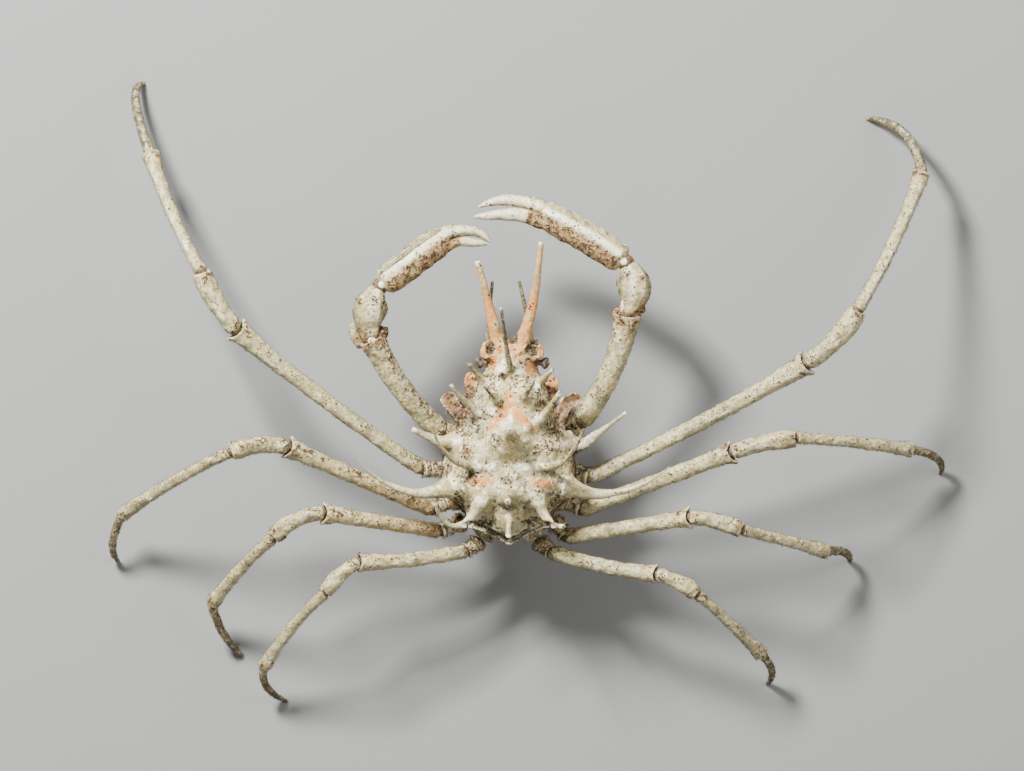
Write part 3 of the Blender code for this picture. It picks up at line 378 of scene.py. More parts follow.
class Surface:
    """Vertices in millimetres, faces as arrays of corner numbers, and one value per vertex for each mark."""

    def __init__(self, vertices, faces, marks=None):
        self.vertices = np.asarray(vertices, float)
        self.faces = faces
        self.marks = marks or {}

    @classmethod
    def joined(cls, surfaces):
        """All the surfaces as one, with each one's corner numbers moved past those before it."""
        starts = np.cumsum([0] + [len(each.vertices) for each in surfaces])
        faces = [block + start for each, start in zip(surfaces, starts) for block in each.faces]
        marks = {}
        for name in MARKS:
            values = [each.marks.get(name, np.zeros(len(each.vertices))) for each in surfaces]
            marks[name] = np.concatenate(values)
        return cls(np.vstack([each.vertices for each in surfaces]), faces, marks)

    def mesh(self, name):
        """A Blender mesh of this surface in metres, with its marks as attributes."""
        made = bpy.data.meshes.new(name)
        sizes = np.concatenate([np.full(len(block), block.shape[1]) for block in self.faces])
        corners = np.concatenate([block.ravel() for block in self.faces])
        made.vertices.add(len(self.vertices))
        made.loops.add(len(corners))
        made.polygons.add(len(sizes))
        place_points(made, self.vertices)
        made.loops.foreach_set("vertex_index", corners.astype(np.int32))
        made.polygons.foreach_set("loop_start", np.concatenate([[0], np.cumsum(sizes)[:-1]]).astype(np.int32))
        made.update(calc_edges=True)
        made.validate()
        write_marks(made, self.marks)
        made.shade_smooth()
        return made


def place_points(mesh, points):
    """Writes vertex places in crab millimetres to a mesh in metres."""
    mesh.vertices.foreach_set("co", ((points + (*PLAN_SHIFT, 0)) * MM).astype(np.float32).ravel())


def write_marks(mesh, marks):
    """Stores each mark as a point attribute that the materials read."""
    for name, values in marks.items():
        layer = mesh.attributes.new(name, "FLOAT", "POINT")
        layer.data.foreach_set("value", np.clip(values, 0, 1).astype(np.float32))


def closed_grid(grid, marks=None):
    """A surface from rings of points (rings, sides, 3), closed round each ring and fanned shut at both ends.

    Its faces point outward: the sum of a . (b x c) over its triangles gives the sign of its volume."""
    rings, sides = grid.shape[:2]
    index = np.arange(rings * sides).reshape(rings, sides)
    ahead = np.roll(index, -1, axis=1)
    quads = np.stack([index[:-1], ahead[:-1], ahead[1:], index[1:]], axis=-1).reshape(-1, 4)
    first, last = rings * sides, rings * sides + 1
    near = np.column_stack([ahead[0], index[0], np.full(sides, first)])
    far = np.column_stack([index[-1], ahead[-1], np.full(sides, last)])
    fans = np.vstack([near, far])
    vertices = np.vstack([grid.reshape(-1, 3), grid[0].mean(axis=0), grid[-1].mean(axis=0)])
    triangles = np.vstack([quads[:, :3], quads[:, [0, 2, 3]], fans])
    a, b, c = (vertices[triangles[:, k]] for k in range(3))
    if np.einsum("ij,ij->i", a - vertices[0], np.cross(b - vertices[0], c - vertices[0])).sum() < 0:
        quads, fans = quads[:, ::-1], fans[:, ::-1]
    values = {}
    for name, mark in (marks or {}).items():
        mark = np.broadcast_to(mark, (rings, sides))
        values[name] = np.concatenate([mark.ravel(), [mark[0].mean(), mark[-1].mean()]])
    return Surface(vertices, [quads, fans], values)


class Track:
    """A curve that limb parts and spines are swept along, with a level and an upright direction everywhere.

    The curve runs on straight past both ends for some millimetres, so that caps and rims fit there."""

    def __init__(self, path, hand=1, spare=5):
        path = np.asarray(path, float)
        steps = np.linalg.norm(np.diff(path, axis=0), axis=1)
        run = np.concatenate([[0], np.cumsum(steps)])
        back = path[0] - spare * unit(path[1] - path[0])
        ahead = path[-1] + spare * unit(path[-1] - path[-2])
        self.length = run[-1]
        self.run = np.concatenate([[-spare], run, [run[-1] + spare]])
        self.path = np.vstack([back, path, ahead])
        self.tangent = unit(np.gradient(self.path, self.run, axis=0))
        level = np.cross(path[-1] - path[0], (0, 0, 1))
        level = unit(level) if np.linalg.norm(level) > 0.2 else np.array((1, 0, 0))
        along = (self.tangent @ level)[:, None]
        self.side = hand * unit(level - self.tangent * along)
        self.up = hand * np.cross(self.side, self.tangent)

    def steps(self, count):
        """A column of even steps from the start to the end."""
        return np.linspace(0, self.length, count)[:, None]

    def read(self, rows, s):
        """The rows' values at run s."""
        return np.stack([np.interp(s, self.run, rows[:, k]) for k in range(3)], axis=-1)

    def sweep(self, s, half_width, half_depth, angles, lift=0):
        """Points at run s, moved cos(angle) x half width aside and sin(angle) x half depth + lift up."""
        s, half_width, half_depth, angles, lift = np.broadcast_arrays(s, half_width, half_depth, angles, lift)
        side = self.read(self.side, s) * (np.cos(angles) * half_width)[..., None]
        up = self.read(self.up, s) * (np.sin(angles) * half_depth + lift)[..., None]
        return self.read(self.path, s) + side + up


def around(track, points):
    """For each point: the run of the nearest place on the track, and the angle round the track there."""
    path = track.path[1:-1]
    away = (path**2).sum(axis=1)[None] - 2 * points @ path.T
    nearest = np.argmin(away, axis=1) + 1
    offset = points - track.path[nearest]
    sideways = np.einsum("ij,ij->i", offset, track.side[nearest])
    upward = np.einsum("ij,ij->i", offset, track.up[nearest])
    return track.run[nearest], np.arctan2(upward, sideways)


def arc(start, middle, end):
    """The parabola from start to end through the middle point: (1-t)^2 start + 2t(1-t) pull + t^2 end."""
    start, middle, end = (np.asarray(point, float) for point in (start, middle, end))
    pull = 2 * middle - 0.5 * (start + end)
    t = np.linspace(0, 1, 161)[:, None]
    return (1 - t) ** 2 * start + 2 * t * (1 - t) * pull + t**2 * end


def bowed(start, end, bow, rise):
    """The curve of a limb part that bows toward the front by this much, and upward by the rise."""
    along = end - start
    front = unit(np.array((-along[1], along[0], 0))) * (1 if along[0] > 0 else -1)
    return arc(start, 0.5 * (start + end) + bow * front + np.array((0, 0, rise)), end)


def ripple(run, angles, seed, size=0.02):
    """1 plus a few slow waves along and round a part, so that no two parts are alike."""
    rng = np.random.default_rng(seed)
    total = 1
    for _ in range(4):
        pace, turns, phase = rng.uniform(0.25, 1.1), rng.integers(0, 4), rng.uniform(0, 6.28)
        total = total + size * 0.6 * np.sin(run * pace + turns * angles + phase)
    return total


def lumps(points, wave, seed):
    """A smooth random height at each point: 24 cosine waves of one length in random directions."""
    rng = np.random.default_rng(seed)
    paces = unit(rng.normal(size=(24, 3))) * (2 * np.pi / wave)
    phases = rng.uniform(0, 2 * np.pi, 24)
    return np.cos(points @ paces.T + phases).sum(axis=-1) / math.sqrt(12)


def ellipsoid(centre, radii, marks=None, rings=12, sides=18, towards=(0, 0, 1)):
    """Points centre + r sin(a) cos(b), r sin(a) sin(b), r cos(a), the third radius towards a direction."""
    axis = unit(np.asarray(towards, float))
    first = unit(np.cross(axis, (0.31, 0.17, 0.93)))
    second = np.cross(axis, first)
    a = np.linspace(0.06, np.pi - 0.06, rings)[:, None]
    b = circle(sides)
    local = np.stack(np.broadcast_arrays(radii[0] * np.sin(a) * np.cos(b), radii[1] * np.sin(a) * np.sin(b),
                                         radii[2] * np.cos(a)), axis=-1)
    grid = np.asarray(centre, float) + local @ np.stack([first, second, axis])
    return closed_grid(grid, marks)


class Paint:
    """A node socket that Python sums can use: each operator on it adds one Math node."""

    def __init__(self, tree, socket):
        self.tree = tree
        self.socket = socket

    def sum(self, operation, first, second):
        return node(self.tree, "ShaderNodeMath", {"operation": operation}, {0: first, 1: second})

    def __add__(self, other):
        return self.sum("ADD", self, other)

    def __sub__(self, other):
        return self.sum("SUBTRACT", self, other)

    def __mul__(self, other):
        return self.sum("MULTIPLY", self, other)

    def __rsub__(self, other):
        return self.sum("SUBTRACT", other, self)

    __radd__ = __add__
    __rmul__ = __mul__

    def step(self, low, high):
        """0 below low and 1 above high, smooth between; low may be the larger one."""
        settings = {"interpolation_type": "SMOOTHSTEP"}
        values = {0: self, 1: min(low, high), 2: max(low, high)}
        rising = node(self.tree, "ShaderNodeMapRange", settings, values)
        return 1 - rising if low > high else rising


def node(tree, kind, settings, values, output=0):
    """Adds a node, makes its settings, fills its sockets with values or links, and returns one output."""
    made = tree.nodes.new(kind)
    for name, value in settings.items():
        setattr(made, name, value)
    for name, value in values.items():
        socket = made.inputs[name]
        if isinstance(value, Paint):
            tree.links.new(value.socket, socket)
        else:
            socket.default_value = value
    return Paint(tree, made.outputs[output])


def mix(share, first, second):
    """Two colours mixed by a share from 0 to 1."""
    colours = [value if isinstance(value, Paint) else (*value, 1) for value in (first, second)]
    settings = {"data_type": "RGBA", "clamp_factor": True}
    return node(share.tree, "ShaderNodeMix", settings, {0: share, 6: colours[0], 7: colours[1]}, output=2)


def noise(place, scale, detail=3, roughness=0.55):
    values = {"Vector": place, "Scale": scale, "Detail": detail, "Roughness": roughness}
    return node(place.tree, "ShaderNodeTexNoise", {}, values)


def cells(place, scale, randomness):
    """The distance to the nearest of many scattered points."""
    values = {"Vector": place, "Scale": scale, "Randomness": randomness}
    return node(place.tree, "ShaderNodeTexVoronoi", {"feature": "F1"}, values)


def mark(place, name):
    """The value of one painted mark at the shaded point."""
    return node(place.tree, "ShaderNodeAttribute", {"attribute_name": name}, {}, output=2)


def fresh_material(name, roughness):
    """An empty node material; returns it, its Principled shader and the place of the shaded point."""
    made = bpy.data.materials.new(name)
    made.use_nodes = True
    shader = made.node_tree.nodes["Principled BSDF"]
    shader.inputs["Roughness"].default_value = roughness
    return made, shader, node(made.node_tree, "ShaderNodeTexCoord", {}, {}, output=3)


def feed(shader, name, paint):
    """Links a value or colour to one of the shader's sockets."""
    paint.tree.links.new(paint.socket, shader.inputs[name])


def emboss(shader, strength, distance, height):
    """Turns a height into the shader's bump."""
    values = {"Strength": strength, "Distance": distance, "Height": height}
    feed(shader, "Normal", node(height.tree, "ShaderNodeBump", {}, values))


def crust_material(name, colours, blush, speckle, blotch, gloss=0.5, grain=1, worms=0.92, ground=0.55,
                   pitted=0.16, cell=1500, pit=0.33):
    """Crab shell: cream with olive-grey clouds, painted marks, worm-like brown specks and clustered pits.

    speckle is how many places carry pits, and pitted how strongly these gather in the stained places. cell
    is how many lie along a metre and pit their half width as a share of their spacing. blotch is how easily
    the warm ground spreads, worms how strong the specks are, and ground how tan the stains are."""
    made, shader, place = fresh_material(name, gloss)
    cloud = noise(place, 150)
    patch = noise(place, 520, 4, 0.6)
    worm = noise(place, 1250, 3, 0.6)
    fine = noise(place, 2600, 3, 0.62)
    names = ("stain", "horn", "peach", "rust", "bone")
    stain, horn, peach, rust, bone = (mark(place, name) for name in names)
    plain = 1 - 0.85 * (peach + 1.3 * rust).step(0.2, 0.9)
    tone = mix(cloud.step(0.42, 0.64) * 0.7, colours.cream, colours.cloud)
    tone = mix(patch.step(0.46, 0.68) * (0.4 + 0.4 * blotch), tone, colours.warm)
    # The pale mark also lays painted highlight, and the dark olive mark painted shade.
    tone = mix((bone * (0.5 + 0.9 * patch)).step(0, 1), tone, colours.bone)
    tone = mix((peach * (0.45 + 1.1 * patch)).step(0.08, 0.95), tone, blush)
    tone = mix((horn * (0.6 + 0.7 * patch)).step(0, 1), tone, colours.horn)
    tone = mix((rust * (0.4 + 1.2 * patch)).step(0.1, 0.9), tone, colours.rust)
    field = stain * (0.5 + patch)
    tone = mix(field.step(0.15, 1.05) * ground, tone, colours.tan)
    grit = worm * 0.6 + fine * 0.4
    light = grit.step(0.56, 0.66) * field
    tone = mix(grit.step(0.49, 0.38) * (0.4 + 0.35 * field) * plain, tone, colours.bone)
    tone = mix(grit.step(0.52, 0.62) * 0.45, tone, colours.horn)
    tone = mix(light * 0.5, tone, colours.stain)
    specks = (grit + field * 0.15).step(0.645, 0.69)
    tone = mix(specks * worms, tone, colours.stain)
    where = noise(place, 430, 4, 0.7)
    pits = (cells(place, cell, 1) + 0.5 * (fine - 0.5)).step(pit, pit - 0.12)
    pits = pits * (where + stain * pitted + (speckle - 0.5) * 0.2).step(0.57, 0.61)
    tone = mix(pits * 0.95, tone, colours.pit)
    feed(shader, "Base Color", mix(mark(place, "dark"), tone, colours.dark))
    feed(shader, "Roughness", gloss + 0.3 * specks + 0.35 * (fine - 0.5) + 0.2 * field)
    height = grit * (0.5 + 1.6 * field) * grain + patch * 0.5 - pits * 1.4 - specks * 0.8 * grain
    emboss(shader, 1, 0.00026, height)
    return made


def skin_material(name, colour, deep, gloss):
    """Soft joint skin: brown, wrinkled across by fine waves of noise."""
    made, shader, place = fresh_material(name, gloss)
    fold = noise(place, 2100, 4, 0.65)
    feed(shader, "Base Color", mix(fold.step(0.35, 0.62), deep, colour))
    emboss(shader, 0.9, 0.0002, fold)
    return made


def bristle_material(name, colours):
    """Bristles: dirty brown clumps that go pale towards some of the tips, by the same clouds as the shell."""
    made, shader, place = fresh_material(name, 0.62)
    clump = noise(place, 420)
    single = noise(place, 3000, 2)
    tone = mix(clump.step(0.38, 0.62), colours.bristle, colours.bristle_dark)
    pale = (single * 0.6 + mark(place, "bone") * 0.5).step(0.42, 0.7)
    feed(shader, "Base Color", mix(pale, tone, colours.bristle_tip))
    feed(shader, "Roughness", 0.55 + 0.2 * single)
    return made


def eye_material(name, colours):
    """Eye: dark brown, mottled and rough, with a fine six-sided facet grain."""
    made, shader, place = fresh_material(name, 0.3)
    facets = cells(place, 9000, 0.25)
    cloud = noise(place, 1500)
    stalk = mark(place, "peach")
    tone = mix(cloud.step(0.4, 0.66), colours.eye, colours.eye_glow)
    feed(shader, "Base Color", mix(stalk * 0.35, tone, colours.skin))
    feed(shader, "Roughness", 0.34 + 0.4 * stalk + 0.35 * cloud.step(0.45, 0.6))
    emboss(shader, 0.8, 0.0002, facets * 0.4 + cloud)
    return made


def floor_material(name, colour):
    """Pale seamless studio floor with the faintest mottling."""
    made, shader, place = fresh_material(name, 0.7)
    darker = tuple(channel * 0.985 for channel in colour)
    feed(shader, "Base Color", mix(noise(place, 14, 2), colour, darker))
    return made


def publish(mesh, finish, slot, *nodes):
    """Puts a finished mesh in the scene as a piece that rides on the crab and stands for these solids."""
    old = bpy.data.objects.get(mesh.name)
    if old:
        bpy.data.objects.remove(old, do_unlink=True)
    piece = bpy.data.objects.new(mesh.name, mesh)
    bpy.context.scene.collection.objects.link(piece)
    mesh.materials.append(finish)
    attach(piece, "root")
    if nodes:
        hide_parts(*nodes)
    return piece


def midline(y):
    """The X of the shell's middle at Y: straight at the rear, leaning a little to the right at the front."""
    return LEAN * np.maximum(0, y - LEAN_FROM_Y)


def dome(across):
    """The shell's arch at a share of its half width: (1 - |across|^2.3)^0.72."""
    return (1 - np.abs(across) ** 2.3) ** 0.72


def shell_top(x, y):
    """The height of the shell's back at a plan place."""
    half_width = np.interp(-y, -np.array(STATION_Y), HALF_WIDTH)
    crown = np.interp(-y, -np.array(STATION_Y), CROWN_Z)
    across = np.minimum(1, np.abs(x - midline(y)) / half_width)
    return RIM_Z + (crown - RIM_Z + hills(x, y, SWELLINGS)) * dome(across)


def rim_place(x, y):
    """How far a place lies ahead of the rear rim, and its share of the rim's half width.

    The rim is a V whose middle lies (1 - across)^1.3 x the drop further back."""
    across = np.abs(x - midline(y)) / REAR_HALF_WIDTH
    return y - (REAR_CORNER_Y - REAR_POINT_DROP * (1 - np.clip(across, 0, 1)) ** 1.3), across


def shell_grid(rings, sides):
    """The shell without spines: each ring is a dome over the widest line and is drawn in below.

    The rear rings bend into a shallow V: the middle falls back by the drop times (1 - |x|)^1.3."""
    y = np.linspace(FRONT_Y, REAR_CORNER_Y, rings)[:, None]
    angle = circle(sides)
    across, rise = np.cos(angle), np.sin(angle)
    half_width = read_table(-y, -np.array(STATION_Y), HALF_WIDTH)
    crown = read_table(-y, -np.array(STATION_Y), CROWN_Z)
    front = np.clip((y - 33) / 6, 0, 1)
    near_rear = np.clip((REAR_BEND_Y - y) / (REAR_BEND_Y - REAR_CORNER_Y), 0, 1)
    underside = UNDERSIDE_Z + 2.2 * front + 1.6 * near_rear
    back = y - REAR_POINT_DROP * near_rear**1.5 * (1 - np.abs(across)) ** 1.3
    x = midline(y) + half_width * across
    down = np.minimum(1, 1.7 * -np.minimum(rise, 0))
    upper = RIM_Z + (crown - RIM_Z + hills(x, back, SWELLINGS)) * dome(across)
    lower = RIM_Z + (underside - RIM_Z) * down
    x = x - half_width * across * 0.12 * down * (rise < 0)
    return np.stack(np.broadcast_arrays(x, back, np.where(rise >= 0, upper, lower)), axis=-1)


def spine_axis(axis):
    """The spine's axis with its heights measured from the shell at its root, run on into the shell.

    A spine on the back goes in square to the shell; one that starts deeper, at the edge, goes straight on."""
    axis = np.array(axis, float)
    x, y, deep = axis[0]
    axis[:, 2] += shell_top(x, y)
    lean = unit(axis[1] - axis[0])
    slope_x = shell_top(x + 0.3, y) - shell_top(x - 0.3, y)
    slope_y = shell_top(x, y + 0.3) - shell_top(x, y - 0.3)
    square = unit(np.array((-slope_x, -slope_y, 0.6))) * (deep > -1)
    return catmull(np.vstack([axis[0] - SPINE_SINK * unit(0.5 * lean + 1.5 * square), axis]), SPINE_STEPS)


def spine_width(share, root_width, tip_width):
    """The width at a share of a spine's length: it falls from root to tip by (1 - share)^1.6."""
    return tip_width + (root_width - tip_width) * (1 - share) ** 1.6


def spine_surface(axis, root_width, tip_width, flare):
    """A spine with a root that is round inside the shell.

    Outside, the root flares by flare x (1.4 exp(-s / 0.9 mm) + 0.7 exp(-s / 2.8 mm))."""
    track = Track(spine_axis(axis))
    s = np.linspace(0, track.length, 80)
    t = np.clip((s - SPINE_SINK) / (track.length - SPINE_SINK), 0, 1)
    width = spine_width(t, root_width, tip_width)
    outside = np.maximum(s - 1.1, 0)
    width += flare * (1.4 * np.exp(-outside / 0.9) + 0.7 * np.exp(-outside / 2.8) * (1 - t))
    width *= np.sqrt(np.clip(1 - (1 - np.minimum(s / SPINE_SINK, 1)) ** 2, 0.02, 1))
    s = np.concatenate([s, [track.length + 0.1, track.length + 0.14]])
    width = np.concatenate([width, [tip_width * 0.8, tip_width * 0.4]])
    angles = circle(28)
    half = (width / 2)[:, None] * ripple(s[:, None], angles, int(1000 * axis[0][1]), 0.05)
    return closed_grid(track.sweep(s[:, None], half, half, angles))


def lobe_surface(axis, widths, thickness):
    """A flat blade whose width follows a table, with sides that curl up by 0.2 widths and a toothed edge."""
    track = Track(catmull(axis, 20))
    s = track.steps(60)
    t = s / track.length
    angles = circle(64)
    side = np.cos(angles)
    across = np.interp(t, LOBE_SHARES, widths)
    teeth = 0.09 * np.sin(s * 3.9 + 0.6 * np.sign(side)) + 0.07 * np.sin(s * 8.3 + 2 * np.sign(side))
    across = across * (1 + teeth * np.abs(side) ** 2)
    deep = thickness * np.interp(t, (0, 0.75, 1), (1.4, 0.95, 0.7))
    curl = 0.2 * max(widths) * (side**2 - 0.5) * t
    return closed_grid(track.sweep(s, across / 2, deep / 2, angles, curl))


def neighbour_mean(points, ends, counts):
    """The mean of each vertex's neighbours, summed over the edges both ways."""
    first, second = ends[:, 0], ends[:, 1]
    total = np.empty_like(points)
    for k in range(points.shape[1]):
        total[:, k] = np.bincount(first, points[second, k], len(points))
        total[:, k] += np.bincount(second, points[first, k], len(points))
    return total / counts[:, None]


def soften(points, ends, counts, weight, rounds):
    """Moves each point toward its neighbours' mean by half its weight, round after round."""
    for _ in range(rounds):
        points += weight[:, None] * 0.5 * (neighbour_mean(points, ends, counts) - points)


def vertex_normals(points, triangles):
    """Vertex normals as the sum of the cross products of the faces round each vertex."""
    a, b, c = (points[triangles[:, k]] for k in range(3))
    cross = np.cross(b - a, c - a)
    total = np.zeros_like(points)
    for k in range(3):
        for axis in range(3):
            total[:, axis] += np.bincount(triangles[:, k], cross[:, axis], len(points))
    return unit(total)


def merged_skin(name, surface, voxel):
    """The surface's overlapping bodies remeshed into one closed skin of small squares, in metres."""
    rough = bpy.data.objects.new(name + "_rough", surface.mesh(name + "_rough"))
    bpy.context.scene.collection.objects.link(rough)
    remesh = rough.modifiers.new("remesh", "REMESH")
    remesh.mode = "VOXEL"
    remesh.voxel_size = voxel * MM
    bpy.context.view_layer.update()
    mesh = bpy.data.meshes.new_from_object(rough.evaluated_get(bpy.context.evaluated_depsgraph_get()))
    mesh.name = name
    old = rough.data
    bpy.data.objects.remove(rough, do_unlink=True)
    bpy.data.meshes.remove(old)
    return mesh


def mesh_arrays(mesh):
    """Vertex places in crab millimetres, edge ends, neighbour counts, and triangles of a quad mesh."""
    points = np.empty(len(mesh.vertices) * 3, np.float32)
    mesh.vertices.foreach_get("co", points)
    points = points.reshape(-1, 3).astype(float) / MM - (*PLAN_SHIFT, 0)
    ends = np.empty(len(mesh.edges) * 2, np.int32)
    mesh.edges.foreach_get("vertices", ends)
    ends = ends.reshape(-1, 2)
    counts = np.bincount(ends.ravel(), minlength=len(points)).astype(float)
    mesh.calc_loop_triangles()
    triangles = np.empty(len(mesh.loop_triangles) * 3, np.int32)
    mesh.loop_triangles.foreach_get("vertices", triangles)
    return points, ends, np.maximum(counts, 1), triangles.reshape(-1, 3)


def nearest_on(points, path):
    """For each point, its distance to a run of path points and how far along the run that place is."""
    best = np.full(len(points), 1e9)
    share = np.zeros(len(points))
    for step, place in zip(np.linspace(0, 1, len(path)), path):
        distance = ((points - place) ** 2).sum(axis=1)
        nearer = distance < best
        best[nearer] = distance[nearer]
        share[nearer] = step
    return np.sqrt(best), share


def carve_shell(points, normals, settings):
    """How far the skin moves along its normals, and up, for its finer relief.

    Mounds and valleys lift places with their spines; cups, lobes, rim, lumps and dimples follow the skin."""
    x, y, z = points.T
    upward = ease(0, 0.5, normals[:, 2])
    above = z - shell_top(x, y)
    on_back = ease(2.6, 0.8, above)
    lift = hills(x, y, RELIEF) * ease(RIM_Z - 0.5, RIM_Z + 2, z)
    shift = np.zeros(len(points))
    for index, (at_x, *sizes, depth) in enumerate(BROW_CUPS):
        away = oval(x, y, at_x, *sizes) * (1 + 0.1 * lumps(points, 2.3, 50 + index))
        rim = bump(away, 1.3, 0.22) * 0.45 * ease(-0.3, 0.5, (x - at_x) * np.sign(at_x))
        shift += (rim - depth * ease(1.15, 0.7, away)) * upward
    for name, (axis, widths, *_) in LOBES.items():
        distance, share = nearest_on(points, catmull(axis, 5))
        if not name.startswith("eave"):
            shift -= 0.5 * bump(distance / max(widths), 0, 0.3) * ease(0.2, 0.5, share) * upward
    from_rim, across = rim_place(x, y)
    at_rear = ease(REAR_BEND_Y, 5, y) * ease(1.15, 0.95, across)
    shift += at_rear * (0.4 * bump(from_rim, 0, 0.2) - 0.95 * bump(from_rim, 0.85, 0.55))
    slender = 1 - 0.8 * ease(1, 3, above) * ((y < 40) | (y > 43))
    lumpy = 0.6 * lumps(points, 3.6, 3) + 0.42 * lumps(points, 1.6, 4) + 0.2 * lumps(points, 0.8, 5)
    shift += settings.grain_height / MM * lumpy * slender
    dimples = ease(1.1, 2, lumps(points, 1.1, 6)) * ease(-0.2, 0.9, lumps(points, 5, 8))
    shift -= 2.2 * settings.grain_height / MM * dimples * upward * on_back
    return shift, lift


def shell_marks(points, normals, cavity, valley):
    """Where each colour of the shell lies: by the nearest spine or lobe, the tables of places, and hollows.

    cavity is how far the skin lies below its surroundings within about 1 mm, and valley within about 3 mm."""
    x, y, z = points.T
    facing = normals[:, 2]
    marks = {name: np.zeros(len(points)) for name in MARKS}

    def lay(name, values):
        """Raises a mark to these values wherever they are higher."""
        marks[name] = np.maximum(marks[name], values)

    upward = ease(-0.1, 0.4, facing)
    off_spines = np.maximum(ease(2.6, 1, z - shell_top(x, y) - 0.5), ease(38, 38.6, y))
    low = ease(3, 1.6, z - shell_top(x, y))
    uneven = lumps(points, 3, 9)
    ragged = 0.16 * lumps(points, 1.3, 17) + 0.1 * lumps(points, 0.7, 18)
    blotch = lumps(points, 1.5, 12)
    tips = np.zeros(len(points))
    for axis, root_width, tip_width, _, colour in SPINES.values():
        path = spine_axis(axis)[::3]
        distance, share = nearest_on(points, path)
        reach = 0.5 * spine_width(share, root_width, tip_width)
        near = ease(reach + 0.7, reach + 0.2, distance) * ease(0.12, 0.34, share)
        off_spines = np.minimum(off_spines, 1 - near)
        if colour == "peach":
            near *= 1 - 0.5 * ease(0.45, 1, share)
            lay("horn", 0.25 * near * ease(0.3, 1, share))
        if colour == "bone":
            lay("horn", 0.45 * near * ease(0.4, 1, share))
            near *= 0.75 - 0.45 * share
        if colour == "beige":
            lay("horn", near * (0.1 + 0.15 * share + 0.1 * uneven))
            lay("peach", 0.2 * near)
            near *= 0.25
            colour = "stain"
        lay(colour, near * (0.85 + 0.15 * uneven))
        if colour == "horn":
            lay("stain", near * (0.3 + 0.3 * uneven))
        ahead = unit(path[-1] - path[-4])
        beyond = points - path[-1]
        if ahead[2] > 0.75:
            from_end = np.hypot(beyond[:, 0], beyond[:, 1]) + 9 * (beyond[:, 2] < -1.5)
        else:
            from_end = np.linalg.norm(beyond, axis=1)
        lay("dark", 0.9 * ease(0.28 * tip_width + 0.1, 0.16 * tip_width + 0.04, from_end))
        tips = np.maximum(tips, ease(tip_width, 0.7 * tip_width, from_end) * (tip_width > 0.7))
    for axis, widths, _, colour in LOBES.values():
        distance, share = nearest_on(points, catmull(axis, 5))
        width = np.interp(share, LOBE_SHARES, widths)
        near = ease(width * 0.75, width * 0.5, distance) * ease(-0.05, 0.15, share) * (y < 38)
        blade = ease(0.35, 0.6, share)
        cup = near * bump(distance / width, 0, 0.25)
        off_spines = np.minimum(off_spines, 1 - 0.85 * near * blade)
        holes = near * ease(0.9, 1.5, lumps(points, 1.2, 20) + 0.5 * (1 - blade))
        if colour == "peach":
            lay("peach", near * (0.6 + 0.35 * blade))
            lay("rust", near * (0.75 - 0.75 * blade + 0.2 * blotch) + 0.3 * cup)
            lay("stain", near * (0.9 - 0.9 * blade + 0.15 * uneven) + 0.3 * cup)
        else:
            lay("peach", 0.5 * near * blade)
            lay("rust", near * (0.8 - 0.1 * blade + 0.15 * blotch) + 0.2 * cup)
            lay("stain", near * (0.75 - 0.55 * blade + 0.2 * uneven))
        lay("dark", 0.75 * holes)
        rim = near * blade * bump(distance / width, 0.5, 0.1) * (facing > -0.2)
        lay("bone", rim)
        marks["peach"] *= 1 - 0.45 * rim
        marks["rust"] *= 1 - 0.8 * rim
    for *place, strength in STAINS:
        lay("stain", off_spines * spot(x, y, ragged, *place, strength=strength))
    # Painted olive shade from the table.
    for *place, strength in SHADES:
        lay("horn", low * strength * hill(x, y, *place))
    worn_off = 1 - 0.3 * ease(0.1, 1.2, lumps(points, 1, 21)) * (y < 38)
    for *place, strength in PEACH_PATCHES:
        lay("peach", upward * off_spines * worn_off * spot(x, y, 0.9 * ragged, *place, strength=strength))
    # Painted highlight on the bosses from the table.
    for *place, strength in BRIGHTS:
        lay("bone", off_spines * strength * hill(x, y, *place) * (1 + 0.25 * uneven))
    for at_x, at_y, half_width, half_length, _ in BROW_CUPS:
        away = oval(x, y, at_x, at_y, half_width, half_length) + ragged
        hollow = ease(1.15, 0.95, away) * (facing > -0.2)
        outer = 0.8 * (x - at_x) * np.sign(at_x) / half_width - 0.4 * (y - at_y) / half_length
        marks["peach"] *= 1 - 0.7 * hollow
        marks["bone"] *= 1 - hollow
        crease = bump(away, 0.95, 0.2) * ease(-0.3, 0.4, outer) * (facing > -0.4)
        # Painted shade in the cup.
        lay("horn", 0.55 * hollow)
        lay("rust", hollow * (0.3 + 0.25 * lumps(points, 1, 15)))
        lay("stain", 0.8 * hollow)
        lay("dark", 0.85 * crease * ease(-1.2, 0.2, lumps(points, 1, 16)))
    from_rim, across = rim_place(x, y)
    at_rear = ease(REAR_BEND_Y, 5, y) * (across * REAR_HALF_WIDTH < 9.3)
    lay("bone", at_rear * bump(from_rim, 0.05, 0.3))
    # Painted shade in the groove in front of the rim.
    lay("horn", at_rear * bump(from_rim, 0.8, 0.45))
    # Raised, upward-facing skin is painted pale: painted highlight.
    raised = 0.8 * ease(0.02, 0.09, -cavity) + 0.6 * ease(0.3, 0.9, -valley) * upward
    lay("bone", raised * off_spines * (1 - 0.7 * marks["horn"]) * (1 - 0.6 * ease(37.6, 38.4, y)))
    # Sunken skin within about 1 mm is browner: dirt in the pits and painted shade.
    lay("stain", 0.7 * ease(0.04, 0.12, cavity) * off_spines)
